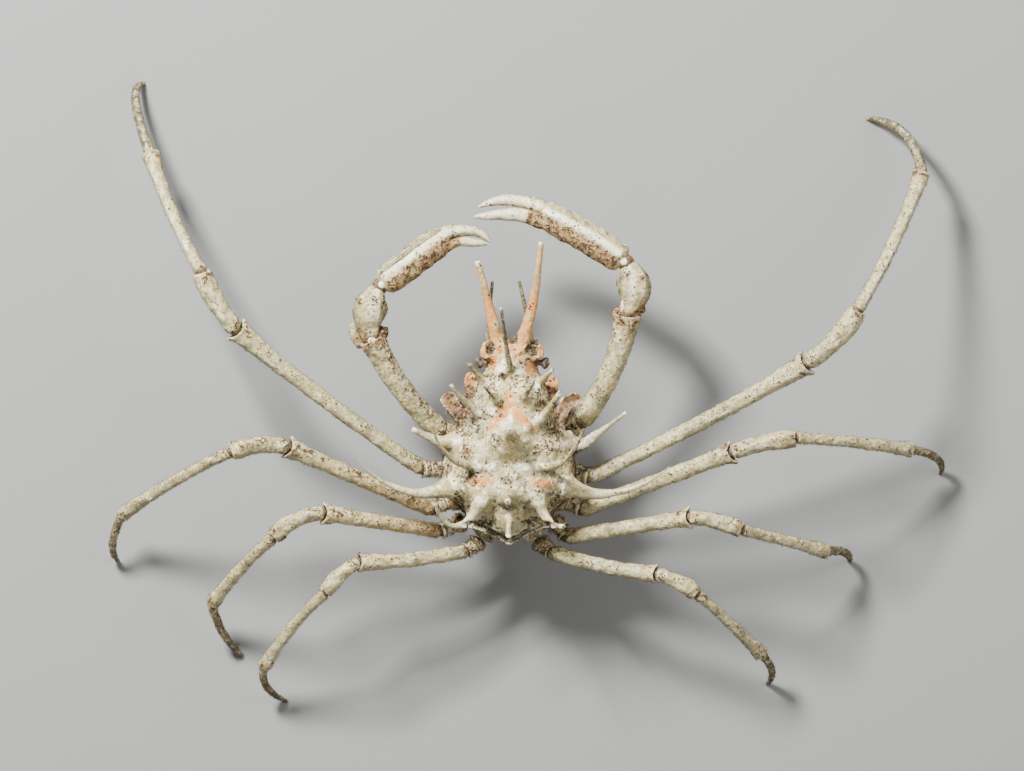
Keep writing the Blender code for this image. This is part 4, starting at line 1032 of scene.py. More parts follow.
    # Valleys and sideways-facing skin get painted olive shade.
    shade = np.maximum(ease(0.05, 0.55, valley), 0.7 * ease(0.85, 0.5, facing)) * off_spines
    lay("horn", shade * (0.58 + 0.15 * uneven) * (1 - 0.5 * bump(x, 0, 4) * bump(y, 19.5, 3)))
    flank = ease(0.8, 0.4, facing) * ease(26, 23.5, z) * off_spines * (y < 36)
    lay("stain", flank * (0.8 + 0.3 * uneven))
    lay("rust", flank * (0.35 + 0.3 * uneven))
    # Steep skin gets painted shade and loses its painted highlight.
    steep = ease(0.72, 0.2, facing) * (0.55 + 0.12 * uneven) * (1 - tips)
    lay("horn", steep)
    marks["bone"] = np.maximum(marks["bone"] * (1 - 0.8 * steep), tips)
    marks["horn"] *= 1 - tips
    for *place, strength in PITS:
        hole = strength * ease(1.25, 0.8, oval(x, y, *place) + 0.7 * ragged) * low
        lay("rust", 0.85 * hole)
        lay("stain", hole)
        lay("dark", hole**4 * (0.35 + 0.3 * lumps(points, 0.9, 15)))
        marks["bone"] *= 1 - hole
    # Downward-facing skin below the rim: brown stain and painted shade.
    below = ease(RIM_Z - 0.4, UNDERSIDE_Z + 0.6, z) * ease(0.2, -0.5, facing)
    lay("stain", 0.7 * below)
    lay("horn", 0.6 * below)
    return marks


def build_shell(settings):
    """The carapace: dome, spines and lobes merged, fillets smoothed at the roots, then carved and marked."""
    bodies = [closed_grid(shell_grid(rings=260, sides=220))]
    bodies += [spine_surface(*sizes[:4]) for sizes in SPINES.values()]
    bodies += [lobe_surface(*sizes[:3]) for sizes in LOBES.values()]
    voxel = settings.voxel / MM * 1
    mesh = merged_skin("carapace_shell", Surface.joined(bodies), voxel)
    points, ends, counts, triangles = mesh_arrays(mesh)
    filleted = np.full(len(points), 0.25)
    for axis, root_width, *_ in SPINES.values():
        root = spine_axis(axis)[SPINE_STEPS]
        away = np.linalg.norm(points - root, axis=1)
        filleted = np.maximum(filleted, ease(root_width * 1.5, root_width * 0.6, away))
    soften(points, ends, counts, filleted, settings.fillet_rounds)
    normals = vertex_normals(points, triangles)
    shift, lift = carve_shell(points, normals, settings)
    points += normals * shift[:, None]
    points[:, 2] += lift
    points += 0.3 * (neighbour_mean(points, ends, counts) - points)
    normals = vertex_normals(points, triangles)
    smooth = points.copy()
    depths = []
    for rounds in (NEAR_ROUNDS, FAR_ROUNDS):
        for _ in range(rounds):
            smooth = neighbour_mean(smooth, ends, counts)
        depths.append(np.einsum("ij,ij->i", smooth - points, normals))
    place_points(mesh, points)
    mesh.update()
    write_marks(mesh, shell_marks(points, normals, *depths))
    mesh.shade_smooth()
    return mesh


def base_arc(limb, side, hip):
    """The curve of a limb's base: square out of the thorax face that carries it, then over to the hip."""
    corner = LIMB_FACES[limb]
    (ax, ay), (bx, by) = THORAX_CORNERS[corner:corner + 2]
    sign = 1 if side == "right" else -1
    facing = unit(np.array((ay - by, bx - ax, 0))) * (sign, 1, 1)
    root = np.array((sign * (ax + bx) / 2, (ay + by) / 2, COXA_Z))
    out = root + facing * 0.45 * np.linalg.norm(hip - root)
    return arc(root, 0.25 * root + 0.5 * out + 0.25 * hip, hip)


def sheath(track, span, table, seed, sides=48, rings=56, lobe=0, notch=0, ridge=0, end="socket",
           stain=(0, 0), peach=0, lumpy=1, facets=0, worn=0.5):
    """One limb part swept along its track, as (grid, marks).

    Width and depth come from a table over the part's length, and the near end is a rounded ball. The far
    end is a rounded rim round a shallow socket, a dome, or a tip. A rim has a lobe on each side,
    exp(-(sin a / 0.42)^2) round the part, and is cut back by the notch above and below. Facets turn the
    part's round into five sides."""
    start, stop = span
    shares, widths, depths = (np.array(column, float) for column in table)
    angles = circle(sides)
    ball = 0.42 * widths[0]
    cap = np.linspace(0.12, np.pi / 2, 7)[:-1]
    run = [start + ball * (1 - np.cos(cap)), np.linspace(start + ball, stop, rings)]
    scale = [np.sin(cap), np.ones(rings)]
    if end == "socket":
        lip = np.array(((0.12, 0.98), (0.19, 0.95), (0.21, 0.91), (0.17, 0.87), (0.04, 0.84), (-0.15, 0.79),
                        (-0.45, 0.56), (-0.6, 0.28), (-0.64, 0.08)))
        run.append(stop + lip[:, 0])
        scale.append(lip[:, 1])
    elif end == "dome":
        turn = np.linspace(0, np.pi / 2, 11)[1:-1]
        run.append(stop + 0.36 * widths[-1] * np.sin(turn))
        scale.append(np.cos(turn))
    else:
        run.append(np.array((stop + 0.08,)))
        scale.append(np.array((0.5,)))
    run, scale = np.concatenate(run)[:, None], np.concatenate(scale)[:, None]
    share = np.clip((run - start) / (stop - start), 0, 1)
    width, depth = (smoothed(np.interp(share[:, 0], shares, each))[:, None] for each in (widths, depths))
    near_end = ease(stop - 1.8, stop, run)
    lateral = bump(np.sin(angles), 0, 0.42)
    swollen = lobe * (bump(run, stop - 0.1, 0.6) + 0.25 * bump(run, stop - 1.2, 0.9)) * lateral
    turn = np.abs((angles + 0.9 * share) % (2 * np.pi) - np.pi / 2 - 0.3)
    crest = 1 + ridge * np.clip(1 - turn / 0.8, 0, 1) ** 1.3 * ease(0, 0.2, share) * ease(1, 0.85, share)
    corner = (angles + 0.5 * share) % (2 * np.pi / 5) - np.pi / 5
    flat = (0.87 / np.cos(corner)) ** 1.6 - 0.92
    crest = crest + facets * flat * ease(0.12, 0.3, share) * ease(1, 0.88, share)
    wave = ripple(run, angles, seed)
    half_width = (width / 2 * scale + swollen * np.minimum(scale, 1)) * wave * np.where(facets > 0, crest, 1)
    half_depth = depth / 2 * scale * wave * crest
    edge = near_end * (0.9 * lobe * lateral - notch * np.sin(angles) ** 2)
    grid = track.sweep(run + edge, half_width, half_depth, angles)
    middle = track.read(track.path, run[:, 0])[:, None]
    outward = unit(grid - middle)
    bumps = 0.04 * lumps(grid, 2.4, seed) + 0.018 * lumps(grid, 0.9, seed + 1)
    grid = grid + outward * (lumpy * bumps * np.minimum(scale, 1) * np.clip(width / 2, 0.2, 1.3))[..., None]
    inner = np.zeros_like(scale)
    if end == "socket":
        inner[-6:] = 1
    waves = 0.6 + 0.3 * np.sin(run * 0.55 + seed) + 0.25 * lumps(grid, 1.8, seed + 3)
    streak = bump(angles, stain[1], 0.6) * waves
    uneven = lumps(grid, 2.6, seed + 2)
    joint = worn * (bump(run, stop - 0.8, 1.3) + 0.3 * bump(run, stop - 2.4, 0.4)) * (end != "tip")
    rim = 0.2 * bump(run, stop, 0.3) + 0.8 * bump(run, stop - 0.2, 0.7) * lateral * (lobe > 0.1)
    # A painted highlight along the top of the part.
    back = 0.6 * bump(angles, np.pi / 2 + 0.4, 0.4)
    marks = {
        "dark": inner * 0.7 + 0.4 * (1 - scale) * (run < start + ball),
        "bone": rim * (end != "tip") + back * (1 - 0.8 * stain[0]) * (0.7 + 0.4 * uneven),
        "stain": 0.6 * joint * (1 + 0.6 * uneven) + 0.5 * bump(run, start + ball, 0.8)
        + stain[0] * streak + 0.4 * ease(0.3, -0.5, np.sin(angles)) + 0.16 * uneven + 0.05,
        "peach": np.maximum(peach * (1 - share) ** 0.8, 0.7 * joint * (1 + 0.5 * uneven)),
        # Painted shade toward the underside, where the stain above also grows, and random darker places.
        "horn": 0.6 * ease(0.72, -0.1, np.sin(angles)) + 0.25 * ease(0, 1.5, -uneven),
    }
    return grid, {name: np.clip(values, 0, 1) for name, values in marks.items()}


def smoothed(values):
    """A row of numbers with each inner one averaged with its neighbours a few times."""
    values = values.copy()
    for _ in range(3):
        values[1:-1] = 0.25 * values[:-2] + 0.5 * values[1:-1] + 0.25 * values[2:]
    return values


def ring_shares(grid):
    """A column with each ring's place in the row of rings, from 0 to nearly 1."""
    return np.arange(len(grid))[:, None] / len(grid)


def swell(points, factor, axis=0):
    """Points moved away from their middle, each by its factor."""
    middle = points.mean(axis=axis, keepdims=True)
    return middle + (points - middle) * factor[..., None]


def scaled(shares, factors, width, depth=0.96):
    """A width table: the factors times a width, and the same times a share for the depth."""
    widths = np.array(factors) * width
    return shares, widths, widths * depth


def leg_parts(side, number):
    """The five parts of one walking leg, each as (name, track, grid, marks)."""
    pose, sizes = LEG_POSES[side, number], LEG_WIDTHS[number]
    orange, stained = LEG_TINTS[side][number - 1]
    hand = 1 if side == "left" else -1
    seed = 11 * number + (0 if side == "left" else 5)
    knee_z, wrist_z, ankle_z = pose["heights"]
    hip = np.array((*pose["hip"], HIP_Z))
    knee, wrist = np.array((*pose["knee"], knee_z)), np.array((*pose["wrist"], wrist_z))
    ankle, tip = np.array((*pose["ankle"], ankle_z)), np.array((*pose["tip"], 0))
    bows = pose["bows"]
    paths = {
        "base": base_arc(f"leg_{number}", side, hip),
        "merus": bowed(hip, knee, bows[0], 0.6),
        "carpus": bowed(knee, wrist, bows[1], 0.5),
        "propodus": bowed(wrist, ankle, bows[2], 0.6),
        "dactylus": arc(ankle, (*pose["bend"], 0.56 * ankle_z), tip),
    }
    tracks = {name: Track(path, hand) for name, path in paths.items()}
    merus, carpus, propodus, claw = sizes["merus"], sizes["carpus"], sizes["propodus"], sizes["claw"]
    knee_width = max(0.79 * sizes["knee"], 1.18 * merus)
    knee_share, ankle_share = knee_width / merus, sizes["ankle"] / propodus
    neck = 0.86 * knee_width / carpus
    tables = {
        "base": scaled((0, 0.12, 0.3, 0.42, 0.47, 0.52, 0.64, 0.76, 0.8, 0.85, 0.94, 1),
                       (1.2, 1.5, 1.55, 1.45, 0.95, 1.15, 1.1, 1.12, 0.88, 1.04, 1.1, 1.12),
                       sizes["root"], 1),
        "merus": scaled((0, 0.03, 0.1, 0.3, 0.52, 0.74, 0.88, 0.94, 1),
                        (0.86, 1, 0.99, 0.97, 1, 1.05, 0.45 + 0.55 * knee_share, 0.98 * knee_share,
                         knee_share), merus, 0.98),
        "carpus": scaled((0, 0.1, 0.2, 0.36, 0.55, 0.72, 0.84, 0.93, 1),
                         (neck, neck, 0.86, 0.86, 0.93, 1.02, 1.03, 0.98, 0.86), carpus),
        "propodus": scaled((0, 0.04, 0.12, 0.3, 0.5, 0.72, 0.85, 0.93, 1),
                           (1, 1.05, 0.97, 0.96, 1, 1.06, 0.5 + 0.5 * ankle_share, ankle_share, ankle_share),
                           propodus),
        "dactylus": scaled((0, 0.06, 0.14, 0.3, 0.48, 0.64, 0.78, 0.9, 0.97, 1),
                           (0.98, 1.06, 0.92, 0.86, 0.82, 0.76, 0.66, 0.5, 0.38, TIP_WIDTH / claw), claw),
    }
    spans = {name: (-0.45, track.length - 0.4) for name, track in tracks.items()}
    spans["base"] = (0.35, tracks["base"].length - 0.3)
    spans["dactylus"] = (-0.4, tracks["dactylus"].length)
    back = np.pi / 2 - 0.5
    lobe = max(0.25, (sizes["knee"] - knee_width) / 2 + 0.08)
    shapes = {
        "base": dict(lobe=0.2, notch=0.2, peach=0.6 + 0.4 * orange, stain=(0.9, back)),
        "merus": dict(lobe=lobe, notch=0.35, peach=orange, stain=(stained, back), rings=110),
        "carpus": dict(lobe=0.05, notch=0.3, ridge=0.16, peach=0.3 * orange, stain=(0.9 * stained, back)),
        "propodus": dict(lobe=0.12, notch=0.25, peach=0.25, stain=(0.6 * stained, back), rings=80),
        "dactylus": dict(end="tip", stain=(0.5, np.pi / 2), lumpy=0.7),
    }
    parts = []
    for index, (name, track) in enumerate(tracks.items()):
        grid, marks = sheath(track, spans[name], tables[name], seed + index, **shapes[name])
        share = ring_shares(grid)
        if name == "base":
            rings = bump(share, 0.405, 0.025) + bump(share, 0.685, 0.02) + bump(share, 0.84, 0.02)
            gaps = bump(share, 0.457, 0.02) + bump(share, 0.716, 0.015)
            marks["bone"] = np.clip(marks["bone"] + 0.8 * rings, 0, 1)
            marks["stain"] = np.clip(marks["stain"] * (1 - 0.75 * rings) + 0.5 * gaps, 0, 1)
            marks["dark"] = np.clip(marks["dark"] + 0.45 * gaps, 0, 1)
        if name == "dactylus":
            age = 0.6 + 0.07 * number
            marks["horn"] = np.clip(age * ease(0.06, 0.2, share) * (1 + 0.35 * lumps(grid, 2, seed)), 0, 1)
            marks["stain"] = np.clip(marks["stain"] * 0.6 + (age - 0.45) * ease(0.05, 0.25, share), 0, 1)
            marks["dark"] = np.clip(marks["dark"] + 0.6 * (age - 0.45) * ease(0.5, 0.85, share), 0, 1)
            grid[..., 2] = np.maximum(grid[..., 2], 0)
        parts.append((name, track, grid, marks))
    return parts


def cheliped_parts(side):
    """The parts of one claw-bearing leg, each as (name, track, grid, marks)."""
    pose, heights, sizes = CHELIPED_POSES[side], CHELIPED_HEIGHTS, CHELIPED_WIDTHS
    hand = -1 if side == "left" else 1
    seed = 71 if side == "left" else 83
    joints = ("hip", "elbow", "wrist", "palm_end")
    hip, elbow, wrist, palm_end = (np.array((*pose[name], heights[name])) for name in joints)
    bows = pose["bows"]
    first, last = heights["palm_end"], heights["finger_end"]
    levels = (first, 0.5 * (first + last), last)
    finger, thumb = (np.column_stack([pose[name], levels]) for name in ("finger", "thumb"))
    paths = {
        "base": base_arc("cheliped", side, hip),
        "merus": bowed(hip, elbow, bows[0], 0.5),
        "carpus": bowed(elbow, wrist, bows[1], 0.6),
        "palm": bowed(wrist, palm_end, bows[2], 0.4),
    }
    tracks = {name: Track(path, hand) for name, path in paths.items()}
    merus, carpus, palm = sizes["merus"], sizes["carpus"], sizes["palm"]
    tables = {
        "base": scaled((0, 0.15, 0.4, 0.5, 0.56, 0.62, 0.8, 0.93, 1),
                       (1, 1.1, 1.1, 1.12, 0.9, 1.04, 1.06, 1.12, 1.1), sizes["root"], 1),
        "merus": scaled((0, 0.05, 0.14, 0.35, 0.6, 0.8, 0.9, 1),
                        (0.86, 1, 1, 0.98, 1, 1.04, 1.12, 1.18), merus, 0.96),
        "carpus": scaled((0, 0.1, 0.2, 0.32, 0.46, 0.6, 0.74, 0.86, 0.95, 1),
                         (0.62, 0.63, 0.66, 0.75, 0.92, 1.02, 1.04, 0.96, 0.8, 0.68), carpus, 0.86),
        "palm": ((0, 0.04, 0.1, 0.2, 0.5, 0.8, 0.94, 1),
                 palm * np.array((0.66, 0.84, 0.94, 0.98, 1, 1, 0.97, 0.9)),
                 sizes["palm_depth"] * np.array((0.66, 0.84, 0.94, 0.98, 1, 0.98, 0.92, 0.84))),
    }
    inner = np.pi / 2 + 0.75
    shapes = {
        "base": dict(lobe=0.25, notch=0.3, peach=0.3, stain=(0.9, np.pi / 2)),
        "merus": dict(lobe=0.25, notch=0.1, peach=0.25, worn=1, rings=100, sides=64,
                      stain=(0.95 if side == "left" else 0.45, inner)),
        "carpus": dict(end="dome", ridge=0.14, stain=(0.2, 2.6), peach=0.7, rings=70, sides=80, facets=0.8,
                       lumpy=0.6),
        "palm": dict(end="dome", stain=(1, inner), peach=0.4, rings=110, sides=96),
    }
    spans = {"base": (0.35, tracks["base"].length - 0.3), "merus": (-0.45, tracks["merus"].length - 0.5),
             "carpus": (-0.9, tracks["carpus"].length - 1.7), "palm": (0, tracks["palm"].length - 1.6)}
    parts = []
    for index, (name, track) in enumerate(tracks.items()):
        grid, marks = sheath(track, spans[name], tables[name], seed + index, **shapes[name])
        if name == "palm":
            grid = swell(grid, 1 + palm_edge(ring_shares(grid), circle(grid.shape[1]), side), 1)
        if name == "carpus":
            marks["bone"] = np.maximum(marks["bone"], 0.6 * bump(np.arange(80)[None, :], 22, 5))
        parts.append((name, track, grid, marks))
    along = unit(palm_end - wrist)
    finger[0] = finger[0] - 1.3 * along
    thumb = np.vstack([thumb[0] - 2.6 * along, thumb[0] + 0.3 * (thumb[1] - thumb[0]), thumb[1], thumb[2]])
    parts.append(("finger", *finger_part(arc(*finger), sizes["finger"] * 1.22, np.pi, hand, seed + 6)))
    parts.append(("thumb", *finger_part(catmull(thumb, 40), pose["thumb_width"] * 1.35, 0, hand, seed + 7)))
    return parts


def palm_edge(share, angles, side):
    """The relief of the palm's outer edge, as shares of its radius: a band, a groove and a low crest."""
    band = ease(0.06, 0.16, share) * ease(0.97, 0.86, share) * (1 if side == "left" else 0.35)
    relief = 0.1 * bump(angles, 1.25, 0.22) - 0.17 * bump(angles, 0.92, 0.11) + 0.08 * bump(angles, 0.6, 0.18)
    return band * relief


def palm_mesh(side, parts, settings):
    """The palm and its fixed finger merged into one skin with a rounded crease between them, and marked."""
    grids = {name: (track, grid) for name, track, grid, _ in parts}
    (hand, _), (thumb, _) = grids["palm"], grids["thumb"]
    bodies = Surface.joined([closed_grid(grids[name][1]) for name in ("palm", "thumb")])
    name = f"cheliped_{side}_palm_shell"
    mesh = merged_skin(name, bodies, settings.voxel / MM * (0.66))
    points, ends, counts, _ = mesh_arrays(mesh)
    away, _ = nearest_on(points, thumb.path[::8])
    on_thumb = ease(0, 1.6, around(thumb, points)[0] - 3.2) * ease(3, 2, away)
    crease = 0.15 + 0.85 * bump(np.linalg.norm(points - thumb.read(thumb.path, 2.9), axis=1), 0, 2.2)
    soften(points, ends, counts, crease, settings.fillet_rounds)
    place_points(mesh, points)
    mesh.update()
    run, angle = around(hand, points)
    share = run / hand.length
    body = (1 - on_thumb) * ease(0.03, 0.12, share)
    smooth = np.maximum(body * bump(angle, 1.2, 0.4) * ease(1.05, 0.9, share), 0.6 * on_thumb)
    uneven = lumps(points, 1.9, 14)
    inner_side = body * ease(1.2, 1.9, np.abs(angle))
    groove = body * bump(angle, 0.76, 0.07) * (1 if side == "left" else 0.25) * ease(0.97, 0.86, share)
    write_marks(mesh, {
        "bone": 0.8 * smooth + 0.5 * body * bump(angle, 0.1, 0.2)
        + 0.4 * ease(0.9, 1, share) * (1 - on_thumb),
        "stain": inner_side * (0.85 + 0.3 * uneven) + 0.7 * groove + 0.5 * body * bump(share, 0.06, 0.05),
        "peach": inner_side * (0.85 + 0.25 * uneven) + 0.5 * body * ease(2, 2.8, np.abs(angle)),
        "dark": 0.95 * groove + 0.7 * body * bump(share, 0.02, 0.03) * ease(0.6, 0, angle),
        # Painted olive shade on the lower outer side, and random darker places.
        "horn": 0.3 * inner_side * ease(0.3, 1.6, -uneven) + 0.25 * body * ease(0.2, 1.4, uneven)
        + (0.55 if side == "left" else 0.3) * body * ease(0.8, 0.66, angle) * (angle > -1.2),
        "rust": inner_side * np.clip(0.22 + 0.25 * lumps(points, 3.2, 15), 0, 1),
    })
    mesh.shade_smooth()
    return mesh


def finger_part(path, width, biting, hand, seed):
    """A claw's finger: a knuckle, an even taper to a hooked tip, and small blunt teeth on its biting side."""
    track = Track(path, hand)
    shares = (0, 0.06, 0.14, 0.24, 0.36, 0.5, 0.68, 0.82, 0.93, 1)
    factors = np.array((0.9, 1.12, 1.2, 1.08, 0.98, 0.9, 0.78, 0.6, 0.4, 0.2))
    table = scaled(shares, factors, width, 1.12)
    grid, marks = sheath(track, (-0.2, track.length), table, seed, end="tip", rings=120, sides=44, lumpy=0.5)
    angles = circle(44)
    share = ring_shares(grid)
    turned = np.clip(np.cos(angles - biting), 0, 1)
    teeth = np.abs(np.sin(share * np.pi * 13)) * ease(0.2, 0.34, share) * ease(1, 0.9, share)
    grid = swell(grid, 1 + (turned**6 * (0.08 + 0.1 * teeth) - 0.1 * turned**2), 1)
    # Painted highlight along the top, painted shade on the underside and the biting side.
    marks = {
        "bone": 0.75 * bump(angles, np.pi / 2, 0.8),
        "stain": 0.7 * turned**3 * ease(0.1, 0.3, share) + 0.6 * bump(share, 0.2, 0.03) + 0.15,
        "dark": 0.5 * turned**6 * (1 - teeth) * ease(0.15, 0.3, share),
        "horn": 0.7 * ease(0.85, 0.1, np.sin(angles)) + 0.25 * turned**2,
    }
    return track, grid, marks


def joint_skins():
    """Soft skins in every limb joint: ellipsoids that fill the sockets, a little narrower than the parts."""
    skins = []
    for side in ("left", "right"):
        for number in LEG_WIDTHS:
            pose, sizes = LEG_POSES[side, number], LEG_WIDTHS[number]
            places = [(*pose["hip"], HIP_Z)]
            places += [(*pose[name], z) for name, z in zip(("knee", "wrist", "ankle"), pose["heights"])]
            widths = [share * sizes[name] for name, share in LEG_SKINS.items()]
            skins += [ellipsoid(place, (width / 2,) * 3) for place, width in zip(places, widths)]
        pose, heights, sizes = CHELIPED_POSES[side], CHELIPED_HEIGHTS, CHELIPED_WIDTHS
        for name, width in (("hip", sizes["merus"] * 0.84), ("elbow", sizes["carpus"] * 0.62),
                            ("wrist", sizes["carpus"] * 0.55), ("palm_end", sizes["palm"] * 0.42)):
            skins.append(ellipsoid((*pose[name], heights[name]), (width / 2,) * 3))
    return Surface.joined(skins)


def eye_surface(side):
    """A short rough stalk that ends in an egg-shaped globe, longest along the crab's own length."""
    start, end = EYE_REACH[side]
    sign = np.sign(end)
    place, along = (end - 0.95 * sign, EYE_Y - 0.1, EYE_Z), (0.25 * sign, 1, 0.1)
    globe = ellipsoid(place, (0.9, 0.85, 1.15), {}, 24, 36, along)
    globe.vertices = swell(globe.vertices, 1 + 0.07 * lumps(globe.vertices, 1.1, 4))
    stalk = np.array(((start - 0.3 * sign, EYE_Y, EYE_Z), (start + 0.5 * sign, EYE_Y, EYE_Z),
                      (end - sign, EYE_Y - 0.2, EYE_Z)))
    track = Track(catmull(stalk, 10))
    s = track.steps(20)
    angles = circle(24)
    tube = track.sweep(s, 0.62 * ripple(s, angles, 5, 0.1), 0.62, angles)
    return Surface.joined([globe, closed_grid(tube, {"peach": 1})])


def antenna_surface(side):
    """A feeler of beads: the width falls evenly, and each bead of 0.8 mm swells it by |sin|."""
    track = Track(catmull(ANTENNAE[side], 30))
    s = track.steps(150)
    beads = 0.74 + 0.26 * np.abs(np.sin(np.pi * s / 0.8)) ** 0.6
    width = np.interp(s, (0, track.length), ANTENNA_WIDTHS) * beads
    angles = circle(20)
    grid = track.sweep(s, width / 2, width / 2, angles)
    return closed_grid(grid, {"stain": 0.8 * (1 - beads) / 0.26, "peach": 0.4, "horn": 0.75})


def rounded_outline(corners, steps):
    """A smooth closed curve through plan corners: Catmull-Rom with the corners repeated round the ends."""
    corners = np.asarray(corners, float)
    ring = np.vstack([corners[-2:], corners, corners[:2]])
    curve = catmull(ring, steps)
    return curve[2 * steps:2 * steps + len(corners) * steps]


def plate_surface(corners, z, steps, seams=(), belly=0.55, rings=26):
    """A rounded plate: its outline is drawn in by a superellipse of height; its seams are soft grooves."""
    outline = rounded_outline(corners, steps)
    middle = (outline.min(axis=0) + outline.max(axis=0)) / 2
    low, high = z
    v = np.linspace(-1, 1, rings)
    share = (1 - np.abs(v) ** 4) ** 0.25
    share = np.maximum(share, 0.02)[:, None, None]
    plan = middle + (outline - middle) * share
    level = (low + high) / 2 + v * (high - low) / 2
    level = np.broadcast_to(level[:, None], plan.shape[:2]).copy()
    lower = (v < 0)[:, None]
    depth = np.zeros_like(level)
    for seam_y in seams:
        slant = plan[..., 1] - 0.16 * np.abs(plan[..., 0]) - seam_y
        depth += belly * bump(slant, 0, 0.28) * ease(0.6, 2, np.abs(plan[..., 0]))
    level = np.where(lower, level + depth * ease(0.1, 0.8, -v)[:, None], level)
    grid = np.concatenate([plan, level[..., None]], axis=-1)
    return closed_grid(grid, {"stain": 0.5 + 0.5 * depth / belly, "horn": 0.6, "peach": 0.3})


def tail_surface():
    """The folded tail: a flat tube in segments along the thorax's floor that turns up behind it."""
    level = THORAX_Z[0] - 0.3 - PLEON_THICKNESS / 2
    path = catmull(((0, PLEON_FRONT_Y, level), (0, 12, level), (0, PLEON_REAR_Y + 1, level),
                    (0, PLEON_REAR_Y - 0.1, level + 1.3), (0, PLEON_REAR_Y, THORAX_Z[1])), 24)
    track = Track(path)
    s = track.steps(120)
    t = s / track.length
    angles = circle(40)
    seam = np.cos(np.pi * PLEON_SEGMENTS * t) ** 12
    width = np.interp(t, (0, 0.04, 0.12, 0.5, 1), (0.5, 1.2, *PLEON_WIDTHS)) * (1 - 0.08 * seam)
    depth = PLEON_THICKNESS * (1 - 0.3 * seam) * np.interp(t, (0, 0.04), (0.6, 1))
    grid = track.sweep(s, width / 2, depth / 2 * (1 + 0.12 * bump(np.cos(angles), 0, 0.3)), angles)
    return closed_grid(grid, {"stain": 0.25 + 0.7 * seam, "horn": 0.35, "bone": 0.3})


def scatter(grid, weight, count, rng):
    """Random places on a grid of rings, more where the weight is high: (root, normal, along, (u, v))."""
    rings, sides = grid.shape[:2]
    step_along = np.diff(grid, axis=0)
    step_round = np.roll(grid, -1, axis=1)[:-1] - grid[:-1]
    area = np.linalg.norm(np.cross(step_along, step_round), axis=2)
    chance = (area * np.broadcast_to(weight, (rings, sides))[:-1]).ravel()
    if chance.sum() <= 0:
        return None
    cell = rng.choice(len(chance), size=count, p=chance / chance.sum())
    i, j = cell // sides, cell % sides
    a, b = rng.random(count)[:, None], rng.random(count)[:, None]
    root = grid[i, j] + a * step_along[i, j] + b * step_round[i, j]
    middle = grid.mean(axis=1)[i]
    normal = unit(np.cross(step_along[i, j], step_round[i, j]))
    normal *= np.sign(np.einsum("ij,ij->i", normal, root - middle))[:, None]
    place = np.column_stack([(j + b[:, 0]) / sides, (i + a[:, 0]) / rings])
    return root, normal, unit(step_along[i, j]), place


def bristle_surface(roots, normals, lies, lengths, widths, rng, stand=0.75):
    """Bristles as closed three-sided spikes: rings at the root and at 55% of the length, and a point.

    Each leaves along stand x normal + (1 - stand) x lie, and its outer part bends further along the lie."""
    count = len(roots)
    loose = 0.25 * rng.normal(size=(count, 3))
    leave = unit(stand * normals + (1 - stand) * lies + loose)
    later = unit(leave + 0.5 * lies + 0.5 * loose)
    first = unit(np.cross(leave, rng.normal(size=(count, 3))))
    second = np.cross(leave, first)
    turn = np.arange(3) * 2 * np.pi / 3
    ring = first[:, None] * np.cos(turn)[None, :, None] + second[:, None] * np.sin(turn)[None, :, None]
    length, width = lengths[:, None, None], widths[:, None, None]
    base = roots[:, None] - 0.1 * width * leave[:, None] + ring * width / 2
    knee = roots[:, None] + 0.55 * length * leave[:, None]
    point = knee + 0.45 * length * later[:, None]
    vertices = np.concatenate([base, knee + ring * width * 0.36, point], axis=1).reshape(-1, 3)
    vertices[:, 2] = np.maximum(vertices[:, 2], 0)
    at = 7 * np.arange(count)[:, None]
    sides = np.concatenate([at + np.array((k, (k + 1) % 3, (k + 1) % 3 + 3, k + 3)) for k in range(3)])
    ends = [at + np.array((k + 3, (k + 1) % 3 + 3, 6)) for k in range(3)]
    ends = np.concatenate(ends + [at + np.array((2, 1, 0))])
    tip = np.tile((0, 0, 0, 0.3, 0.3, 0.3, 1), count)
    return Surface(vertices, [sides, ends], {"bone": tip})


def bake_map(mesh, places):
    """The map OFBake: each bristle is a patch about 0.003 across at its root's place on the unrolled part."""
    layer = mesh.uv_layers.new(name="OFBake")
    corner = np.array(((-0.0015, 0), (0.0015, 0), (0, 0.0009), (-0.001, 0.0015), (0.001, 0.0015),
                       (0, 0.0021), (0, 0.003)))
    spots = (places[:, None] + corner[None]).reshape(-1, 2)
    vertex = np.empty(len(mesh.loops), np.int32)
    mesh.loops.foreach_get("vertex_index", vertex)
    layer.uv.foreach_set("vector", np.clip(spots[vertex], 0, 1).astype(np.float32).ravel())


